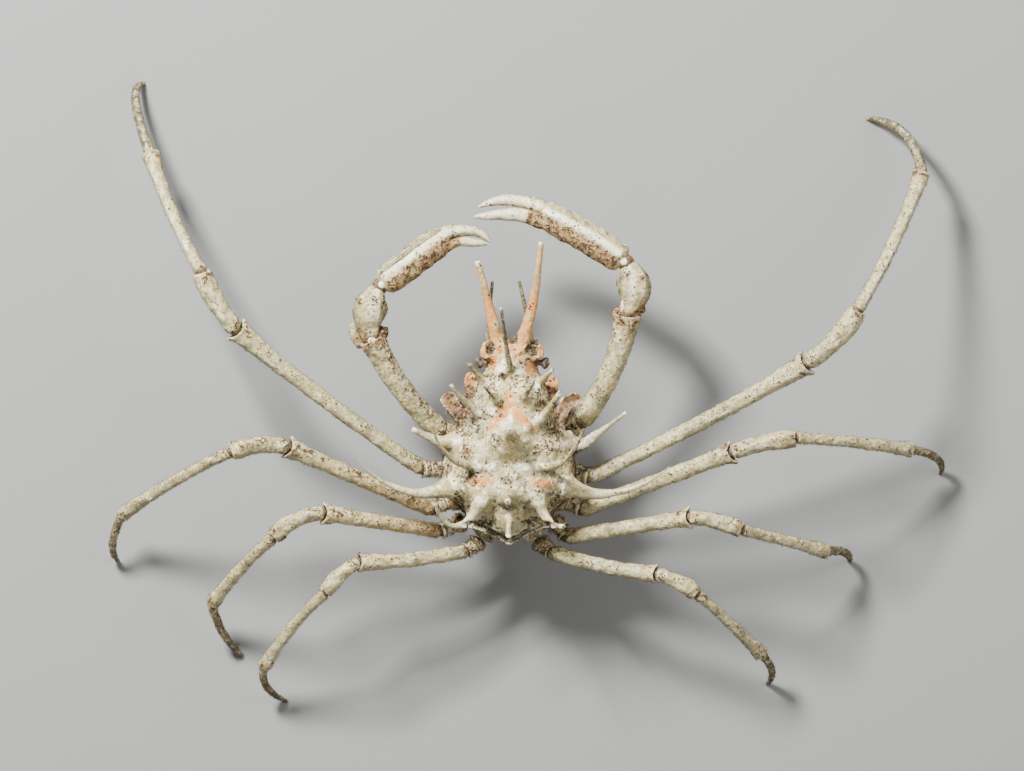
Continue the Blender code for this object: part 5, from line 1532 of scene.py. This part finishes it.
def limb_bristles(settings, limbs, seed):
    """Short bristles on a set of limbs: dense at the base and round the claws, sparse on the long parts."""
    rng = np.random.default_rng(seed)
    gathered = []
    total = sum(len(parts) for parts in limbs)
    index = 0
    for parts in limbs:
        for name, track, grid, marks in parts:
            share = ring_shares(grid)
            edges = np.abs(np.cos(circle(grid.shape[1]))) ** 2
            density, reach = {
                "base": (1, 0.6), "merus": (0.35, 0.42), "carpus": (0.35, 0.36), "propodus": (0.4, 0.4),
                "dactylus": (1.2, 0.34), "palm": (0.25, 0.34), "finger": (0.02, 0.2), "thumb": (0.02, 0.2),
            }[name]
            weight = 0.25 + 0.75 * edges + 1.2 * marks.get("stain", 0)
            if name == "merus":
                weight = weight + 4 * ease(0.16, 0.02, share)
            weight = weight * ease(0, 0.04, share) * ease(1, 0.93, share)
            count = int(settings.density * density * track.length * 2.2)
            if count < 3:
                continue
            found = scatter(grid, weight, count, rng)
            around_part, along_part = found[3].T
            place = np.column_stack([(index + 0.05 + 0.9 * around_part) / total, 0.02 + 0.95 * along_part])
            gathered.append((*found[:3], np.full(count, reach), place))
            index += 1
    roots, normals, lies, reach, places = (np.concatenate(column) for column in zip(*gathered))
    lengths = reach * rng.uniform(0.5, 1.35, len(roots)) * settings.length_share
    widths = np.full(len(roots), settings.thickness / MM) * rng.uniform(0.7, 1.2, len(roots))
    return bristle_surface(roots, normals, lies, lengths, widths, rng), places


def shell_bristles(settings, mesh, seed):
    """Long dirty bristles on the shell's flanks, under the hepatic plates, in the brow cups and the fork."""
    rng = np.random.default_rng(seed)
    points, _, _, triangles = mesh_arrays(mesh)
    normals = vertex_normals(points, triangles)
    x, y, z = points.T
    flank = ease(RIM_Z + 0.3, RIM_Z - 1.2, z) * ease(UNDERSIDE_Z - 0.1, UNDERSIDE_Z + 0.4, z) * (y < 36)
    flank = flank * ease(-0.75, -0.2, normals[:, 2])
    outward = np.abs(x - midline(y)) > 6.5
    plates = ease(2.6, 1.4, np.minimum(np.hypot(x + 10.3, y - 27.4), np.hypot(x - 11, y - 27)))
    plates = plates * (z < 23.4)
    fork = ease(1.3, 0.7, np.hypot(x - 0.75, y - 41.9)) * (z < 24.4)
    hollows = np.zeros(len(points))
    for *place, _ in BROW_CUPS:
        hollows += 0.1 * ease(1.1, 0.8, oval(x, y, *place)) * (normals[:, 2] > 0)
    chance = flank * outward + plates * 0.35 * (normals[:, 2] < 0.3) + fork * 0.9 + hollows
    count = int(settings.density * SHELL_COAT * (1))
    pick = rng.choice(len(points), size=count, p=chance / chance.sum())
    roots, normals = points[pick], normals[pick]
    lies = unit(np.column_stack([0.8 * np.sign(roots[:, 0]), np.full(count, 0.3), np.full(count, -0.6)]))
    reach = 0.9 - 0.45 * ((fork + hollows)[pick] > 0.2)
    lengths = reach * rng.uniform(0.5, 1.4, count) * settings.length_share
    widths = np.full(count, settings.thickness / MM * 1.15) * rng.uniform(0.7, 1.2, count)
    turn = np.arctan2(roots[:, 2] - RIM_Z, roots[:, 0] - midline(roots[:, 1])) / (2 * np.pi) + 0.5
    places = np.column_stack([0.02 + 0.95 * turn, 0.02 + 0.95 * np.clip(roots[:, 1] / 62, 0, 1)])
    return bristle_surface(roots, normals, lies, lengths, widths, rng, 0.6), places


def swatch(name, description, default):
    return FloatVectorProperty(name=name, description=description, subtype="COLOR", size=3, min=0.0, max=1.0,
                               default=default)


def number(name, description, default, low, high, **rest):
    return FloatProperty(name=name, description=description, default=default, min=low, max=high, **rest)


class CrabColours(bpy.types.PropertyGroup):
    """Colours of the shell, its stains, the bristles and the eyes."""

    cream: swatch("Cream", "Clean shell", (0.50, 0.425, 0.19))
    cloud: swatch("Cloud", "Olive-grey clouds in the shell", (0.25, 0.242, 0.13))
    warm: swatch("Warm", "Warm beige patches", (0.42, 0.275, 0.10))
    # This pale colour also paints highlights on raised places and along the tops of limbs.
    bone: swatch("Bone", "Worn ridges and smooth spines", (0.96, 0.90, 0.63))
    # This dark olive colour also paints shade in hollows, on steep slopes and under limbs.
    horn: swatch("Horn", "Upright spines and claws", (0.095, 0.087, 0.041))
    peach: swatch("Peach", "Rostrum and patches of the back", (0.66, 0.265, 0.06))
    tan: swatch("Tan", "Tan, stained ground", (0.33, 0.18, 0.062))
    rust: swatch("Rust", "Side plates of the head", (0.20, 0.096, 0.037))
    stain: swatch("Stain", "Brown rough specks", (0.058, 0.03, 0.012))
    pit: swatch("Pit", "Small dark pits", (0.025, 0.016, 0.009))
    dark: swatch("Dark", "Inside of joints and worn tips", (0.03, 0.019, 0.011))
    skin: swatch("Joint skin", "Soft skin in the joints", (0.185, 0.11, 0.045))
    bristle: swatch("Bristle", "Bristles", (0.165, 0.108, 0.05))
    bristle_dark: swatch("Dark bristle", "Dirt-caked bristles", (0.05, 0.032, 0.018))
    bristle_tip: swatch("Bristle tip", "Pale bristle tips", (0.35, 0.27, 0.15))
    eye: swatch("Eye", "Eye surface", (0.03, 0.018, 0.01))
    eye_glow: swatch("Eye glow", "Lighter clouds in the eye", (0.185, 0.13, 0.085))


class CrabShell(bpy.types.PropertyGroup):
    """Sizes of the carapace's skin."""

    voxel: number("Cell", "Size of the skin's cells", 0.00022, 0.00015, 0.001, unit="LENGTH", precision=5)
    fillet_rounds: IntProperty(name="Fillets", description="Rounds of smoothing where spines leave the shell",
                               default=34, min=0, max=80)
    grain_height: number("Grain", "Height of the fine grain", 0.00009, 0, 0.0002, unit="LENGTH", precision=6)


class CrabBristles(bpy.types.PropertyGroup):
    """Sizes of the bristles."""

    density: number("Density", "Bristles per millimetre of limb", 30.0, 1.0, 120.0)
    length_share: number("Length", "Share of the usual length", 1.0, 0.2, 3.0, subtype="FACTOR")
    thickness: number("Thickness", "Width at the root", 0.00009, 0.00003, 0.0004, unit="LENGTH", precision=6)


class CrabStage(bpy.types.PropertyGroup):
    """The floor, the lights and the camera."""

    floor_colour: swatch("Floor", "Floor colour", (0.25, 0.25, 0.243))
    key_power: number("Key light", "Power of the main soft light", 21.5, 0.0, 500.0, unit="POWER")
    fill_power: number("Fill light", "Power of the fill light", 3.2, 0.0, 500.0, unit="POWER")
    world_light: number("Room light", "Strength of the light from all round", 0.105, 0.0, 10.0)
    camera_height: number("Camera height", "Height of the camera above the shell", 3, 0.5, 20, unit="LENGTH")
    pixel: number("Pixel", "Width of one picture pixel at the shell", 0.0002, 0.00005, 0.01, unit="LENGTH",
                  precision=6)


def crust(name):
    """The shell material of one group of parts, made once."""
    colours = bpy.context.scene.crab_colours
    settings = {
        "shell_crust": dict(blush=colours.peach, speckle=0.42, blotch=0.4, gloss=0.36, worms=0.4, ground=0.3,
                            pitted=0.42, cell=1300, pit=0.37),
        "limb_crust": dict(blush=colours.tan, speckle=0.55, blotch=0.55, gloss=0.44),
        "claw_crust": dict(blush=colours.warm, speckle=0.6, blotch=0.6, gloss=0.4, grain=1.4),
    }[name]
    return bpy.data.materials.get(name) or crust_material(name, colours, **settings)


class CRAB_OT_carapace(bpy.types.Operator):
    """Build the carapace with its spines, lobes, cups, pits and rim as one skin"""

    bl_idname = "spider_crab.carapace"
    bl_label = "Carapace"

    def execute(self, context):
        mesh = build_shell(context.scene.crab_shell)
        publish(mesh, crust("shell_crust"), "shell", "carapace")
        return {"FINISHED"}


class CRAB_OT_walking_legs(bpy.types.Operator):
    """Build the eight walking legs part by part"""

    bl_idname = "spider_crab.walking_legs"
    bl_label = "Walking legs"

    def execute(self, context):
        finish = crust("limb_crust")
        for side, number in LEG_POSES:
            for name, _, grid, marks in leg_parts(side, number):
                part = f"leg_{side}_{number}_{name}"
                publish(closed_grid(grid, marks).mesh(part + "_shell"), finish, "limbs", part)
        return {"FINISHED"}


class CRAB_OT_chelipeds(bpy.types.Operator):
    """Build the two claw-bearing legs with their palms and toothed fingers"""

    bl_idname = "spider_crab.chelipeds"
    bl_label = "Claw-bearing legs"

    def execute(self, context):
        finish = crust("claw_crust")
        for side in CHELIPED_POSES:
            made = cheliped_parts(side)
            palm = palm_mesh(side, made, context.scene.crab_shell)
            publish(palm, finish, "limbs", f"cheliped_{side}_palm")
            parts = {name: closed_grid(grid, marks) for name, _, grid, marks in made}
            del parts["palm"], parts["thumb"]
            pose = CHELIPED_POSES[side]
            toward = np.array((*pose["palm_end"], 0)) - (*pose["wrist"], 0)
            place = (*pose["wrist"], CHELIPED_HEIGHTS["wrist"]) + 0.5 * unit(toward) + (0, 0, 1)
            knuckle = ellipsoid(place, (0.9, 0.8, 1.3), {"bone": 1}, towards=toward)
            parts["carpus"] = Surface.joined([parts["carpus"], knuckle])
            for x, y, z, radii, kind in ELBOW_KNOBS[side]:
                knob = ellipsoid((x, y, z), radii, kind, 14, 20, (0.3, 1, 0.2))
                middle = knob.vertices.mean(axis=0)
                knob.vertices += (knob.vertices - middle) * (0.14 * lumps(knob.vertices, 1.7, 6))[:, None]
                parts["merus"] = Surface.joined([parts["merus"], knob])
            if side == "left":
                track = Track(catmull(OUTER_KNOB, 20))
                table = scaled((0, 0.3, 0.7, 0.9, 1), (0.9, 1, 1.05, 0.85, 0.5), 1.9, 1)
                grid, marks = sheath(track, (0, track.length), table, 3, end="tip", sides=28, rings=30,
                                     stain=(0.9, 1), peach=1)
                parts["merus"] = Surface.joined([parts["merus"], closed_grid(grid, marks)])
            for name, surface in parts.items():
                part = f"cheliped_{side}_{name}"
                publish(surface.mesh(part + "_shell"), finish, "limbs", part)
        return {"FINISHED"}


class CRAB_OT_joint_skins(bpy.types.Operator):
    """Build the soft skins that show in the joints"""

    bl_idname = "spider_crab.joint_skins"
    bl_label = "Joint skins"

    def execute(self, context):
        colours = context.scene.crab_colours
        finish = skin_material("joint_skin", tuple(colours.skin), tuple(colours.dark), 0.55)
        publish(joint_skins().mesh("joint_skins"), finish, "underside")
        return {"FINISHED"}


class CRAB_OT_head(bpy.types.Operator):
    """Build the eyes, the feelers and the plates that close the mouth"""

    bl_idname = "spider_crab.head"
    bl_label = "Eyes, feelers and mouth"

    def execute(self, context):
        colours = context.scene.crab_colours
        eyes, limbs = eye_material("eye_surface", colours), crust("limb_crust")
        (inner, outer), (rear, front) = MOUTHPART["x"], MOUTHPART["y"]
        corners = ((inner, rear), (outer - 0.8, rear), (outer, rear + 1.8), (outer, front - 1.6),
                   (outer - 1.2, front), (inner, front))
        for side, sign in (("left", -1), ("right", 1)):
            publish(eye_surface(side).mesh(f"eye_{side}_globe"), eyes, "eyes", f"eye_{side}")
            publish(antenna_surface(side).mesh(f"antenna_{side}_beads"), limbs, "limbs", f"antenna_{side}")
            plan = [(sign * x, y) for x, y in corners]
            plate = plate_surface(plan, MOUTHPART["z"], 14, (29.6, 32), 0.3)
            publish(plate.mesh(f"maxilliped_{side}_plate"), limbs, "underside", f"maxilliped_{side}")
        return {"FINISHED"}


class CRAB_OT_underside(bpy.types.Operator):
    """Build the plated breast and the folded tail"""

    bl_idname = "spider_crab.underside"
    bl_label = "Breast and tail"

    def execute(self, context):
        finish = crust("limb_crust")
        right = list(THORAX_CORNERS)
        left = [(-x, y) for x, y in reversed(THORAX_CORNERS)]
        breast = plate_surface(right + left, THORAX_Z, 10, (22.4, 16.2, 11, 6.6), 0.7)
        publish(breast.mesh("thorax_plates"), finish, "underside", "thorax")
        publish(tail_surface().mesh("pleon_plates"), finish, "underside", "pleon")
        return {"FINISHED"}


class CRAB_OT_bristles(bpy.types.Operator):
    """Set short bristles on the limbs and long ones round the shell's flanks"""

    bl_idname = "spider_crab.bristles"
    bl_label = "Bristles"

    def execute(self, context):
        settings = context.scene.crab_bristles
        finish = bristle_material("bristles", context.scene.crab_colours)
        coats = {}
        for seed, side in enumerate(("left", "right")):
            legs = [leg_parts(side, number) for number in LEG_WIDTHS]
            coats[f"bristles_legs_{side}"] = limb_bristles(settings, legs, 20 + seed)
        claw_legs = [cheliped_parts(side) for side in CHELIPED_POSES]
        coats["bristles_claw_legs"] = limb_bristles(settings, claw_legs, 30)
        coats["bristles_shell"] = shell_bristles(settings, bpy.data.objects["carapace_shell"].data, 40)
        for name, (surface, places) in coats.items():
            mesh = surface.mesh(name)
            bake_map(mesh, places)
            publish(mesh, finish, "limbs")
        return {"FINISHED"}


class CRAB_OT_stage(bpy.types.Operator):
    """Lay the pale floor and set the soft lights and the camera straight above the crab"""

    bl_idname = "spider_crab.stage"
    bl_label = "Floor, lights and camera"

    def execute(self, context):
        settings, scene = context.scene.crab_stage, context.scene
        reach = 3
        plane = bpy.data.meshes.new("studio_floor")
        corners = [(-reach, -reach, 0), (reach, -reach, 0), (reach, reach, 0), (-reach, reach, 0)]
        plane.from_pydata(corners, [], [(0, 1, 2, 3)])
        floor = bpy.data.objects.new("studio_floor", plane)
        scene.collection.objects.link(floor)
        plane.materials.append(floor_material("studio_floor", tuple(settings.floor_colour)))
        target = Vector((0, 0, 0.02))
        add_area("key_light", (-0.32, 0.46, 0.5), target, 0.15, settings.key_power)
        add_area("fill_light", (0.52, 0.2, 0.48), target, 0.4, settings.fill_power)
        add_area("rear_light", (0.05, -0.55, 0.5), target, 0.4, settings.fill_power * 0.4)
        scene.world = scene.world or bpy.data.worlds.new("studio")
        scene.world.use_nodes = True
        sockets = scene.world.node_tree.nodes["Background"].inputs
        sockets[0].default_value = (1, 1, 1, 1)
        sockets[1].default_value = settings.world_light
        add_camera(settings)
        return {"FINISHED"}


def add_area(name, place, target, size, power):
    """A square soft light at a place, turned to the target."""
    light = bpy.data.lights.new(name, "AREA")
    light.shape = "SQUARE"
    light.size = size
    light.energy = power
    lamp = bpy.data.objects.new(name, light)
    lamp.location = place
    lamp.rotation_euler = (target - Vector(place)).to_track_quat("-Z", "Y").to_euler()
    bpy.context.scene.collection.objects.link(lamp)


def add_camera(settings):
    """A long lens straight above the crab: lens = sensor x distance / picture width at the shell's level."""
    pixel = settings.pixel / MM
    x = (PICTURE[0] / 2 - AXIS_PIXEL[0]) * pixel + PLAN_SHIFT[0]
    y = (AXIS_PIXEL[1] - PICTURE[1] / 2) * pixel + PLAN_SHIFT[1]
    camera = bpy.data.cameras.new("camera")
    camera.sensor_width = 36
    camera.lens = camera.sensor_width * settings.camera_height / (PICTURE[0] * settings.pixel)
    camera.clip_start = 0.05
    camera.clip_end = 20
    eye = bpy.data.objects.new("camera", camera)
    eye.location = (x * MM, y * MM, SCALE_LEVEL + settings.camera_height)
    bpy.context.scene.collection.objects.link(eye)
    bpy.context.scene.camera = eye


class CRAB_PT_sidebar(bpy.types.Panel):
    """Lists the crab's sizes, colours and build steps in the sidebar"""

    bl_idname = "CRAB_PT_sidebar"
    bl_label = "Spider crab"
    bl_space_type = "VIEW_3D"
    bl_region_type = "UI"
    bl_category = "Spider crab"

    def draw(self, context):
        for key in ("crab_shell", "crab_bristles", "crab_stage", "crab_colours"):
            group, box = getattr(context.scene, key), self.layout.box()
            for name in group.bl_rna.properties.keys():
                if name not in ("rna_type", "name"):
                    box.prop(group, name)
        for step in STEPS:
            self.layout.operator(step.bl_idname)


STEPS = (CRAB_OT_carapace, CRAB_OT_walking_legs, CRAB_OT_chelipeds, CRAB_OT_joint_skins, CRAB_OT_head,
         CRAB_OT_underside, CRAB_OT_bristles, CRAB_OT_stage)
GROUPS = {"crab_colours": CrabColours, "crab_shell": CrabShell, "crab_bristles": CrabBristles,
          "crab_stage": CrabStage}


def register():
    for name, group in GROUPS.items():
        bpy.utils.register_class(group)
        setattr(bpy.types.Scene, name, PointerProperty(type=group))
    for step in STEPS:
        bpy.utils.register_class(step)
    bpy.utils.register_class(CRAB_PT_sidebar)


def unregister():
    bpy.utils.unregister_class(CRAB_PT_sidebar)
    for step in reversed(STEPS):
        bpy.utils.unregister_class(step)
    for name, group in GROUPS.items():
        delattr(bpy.types.Scene, name)
        bpy.utils.unregister_class(group)


def main():
    register()
    bpy.ops.spider_crab.carapace()
    bpy.ops.spider_crab.walking_legs()
    bpy.ops.spider_crab.chelipeds()
    bpy.ops.spider_crab.joint_skins()
    bpy.ops.spider_crab.head()
    bpy.ops.spider_crab.underside()
    bpy.ops.spider_crab.bristles()
    bpy.ops.spider_crab.stage()


if __name__ == "__main__":
    main()
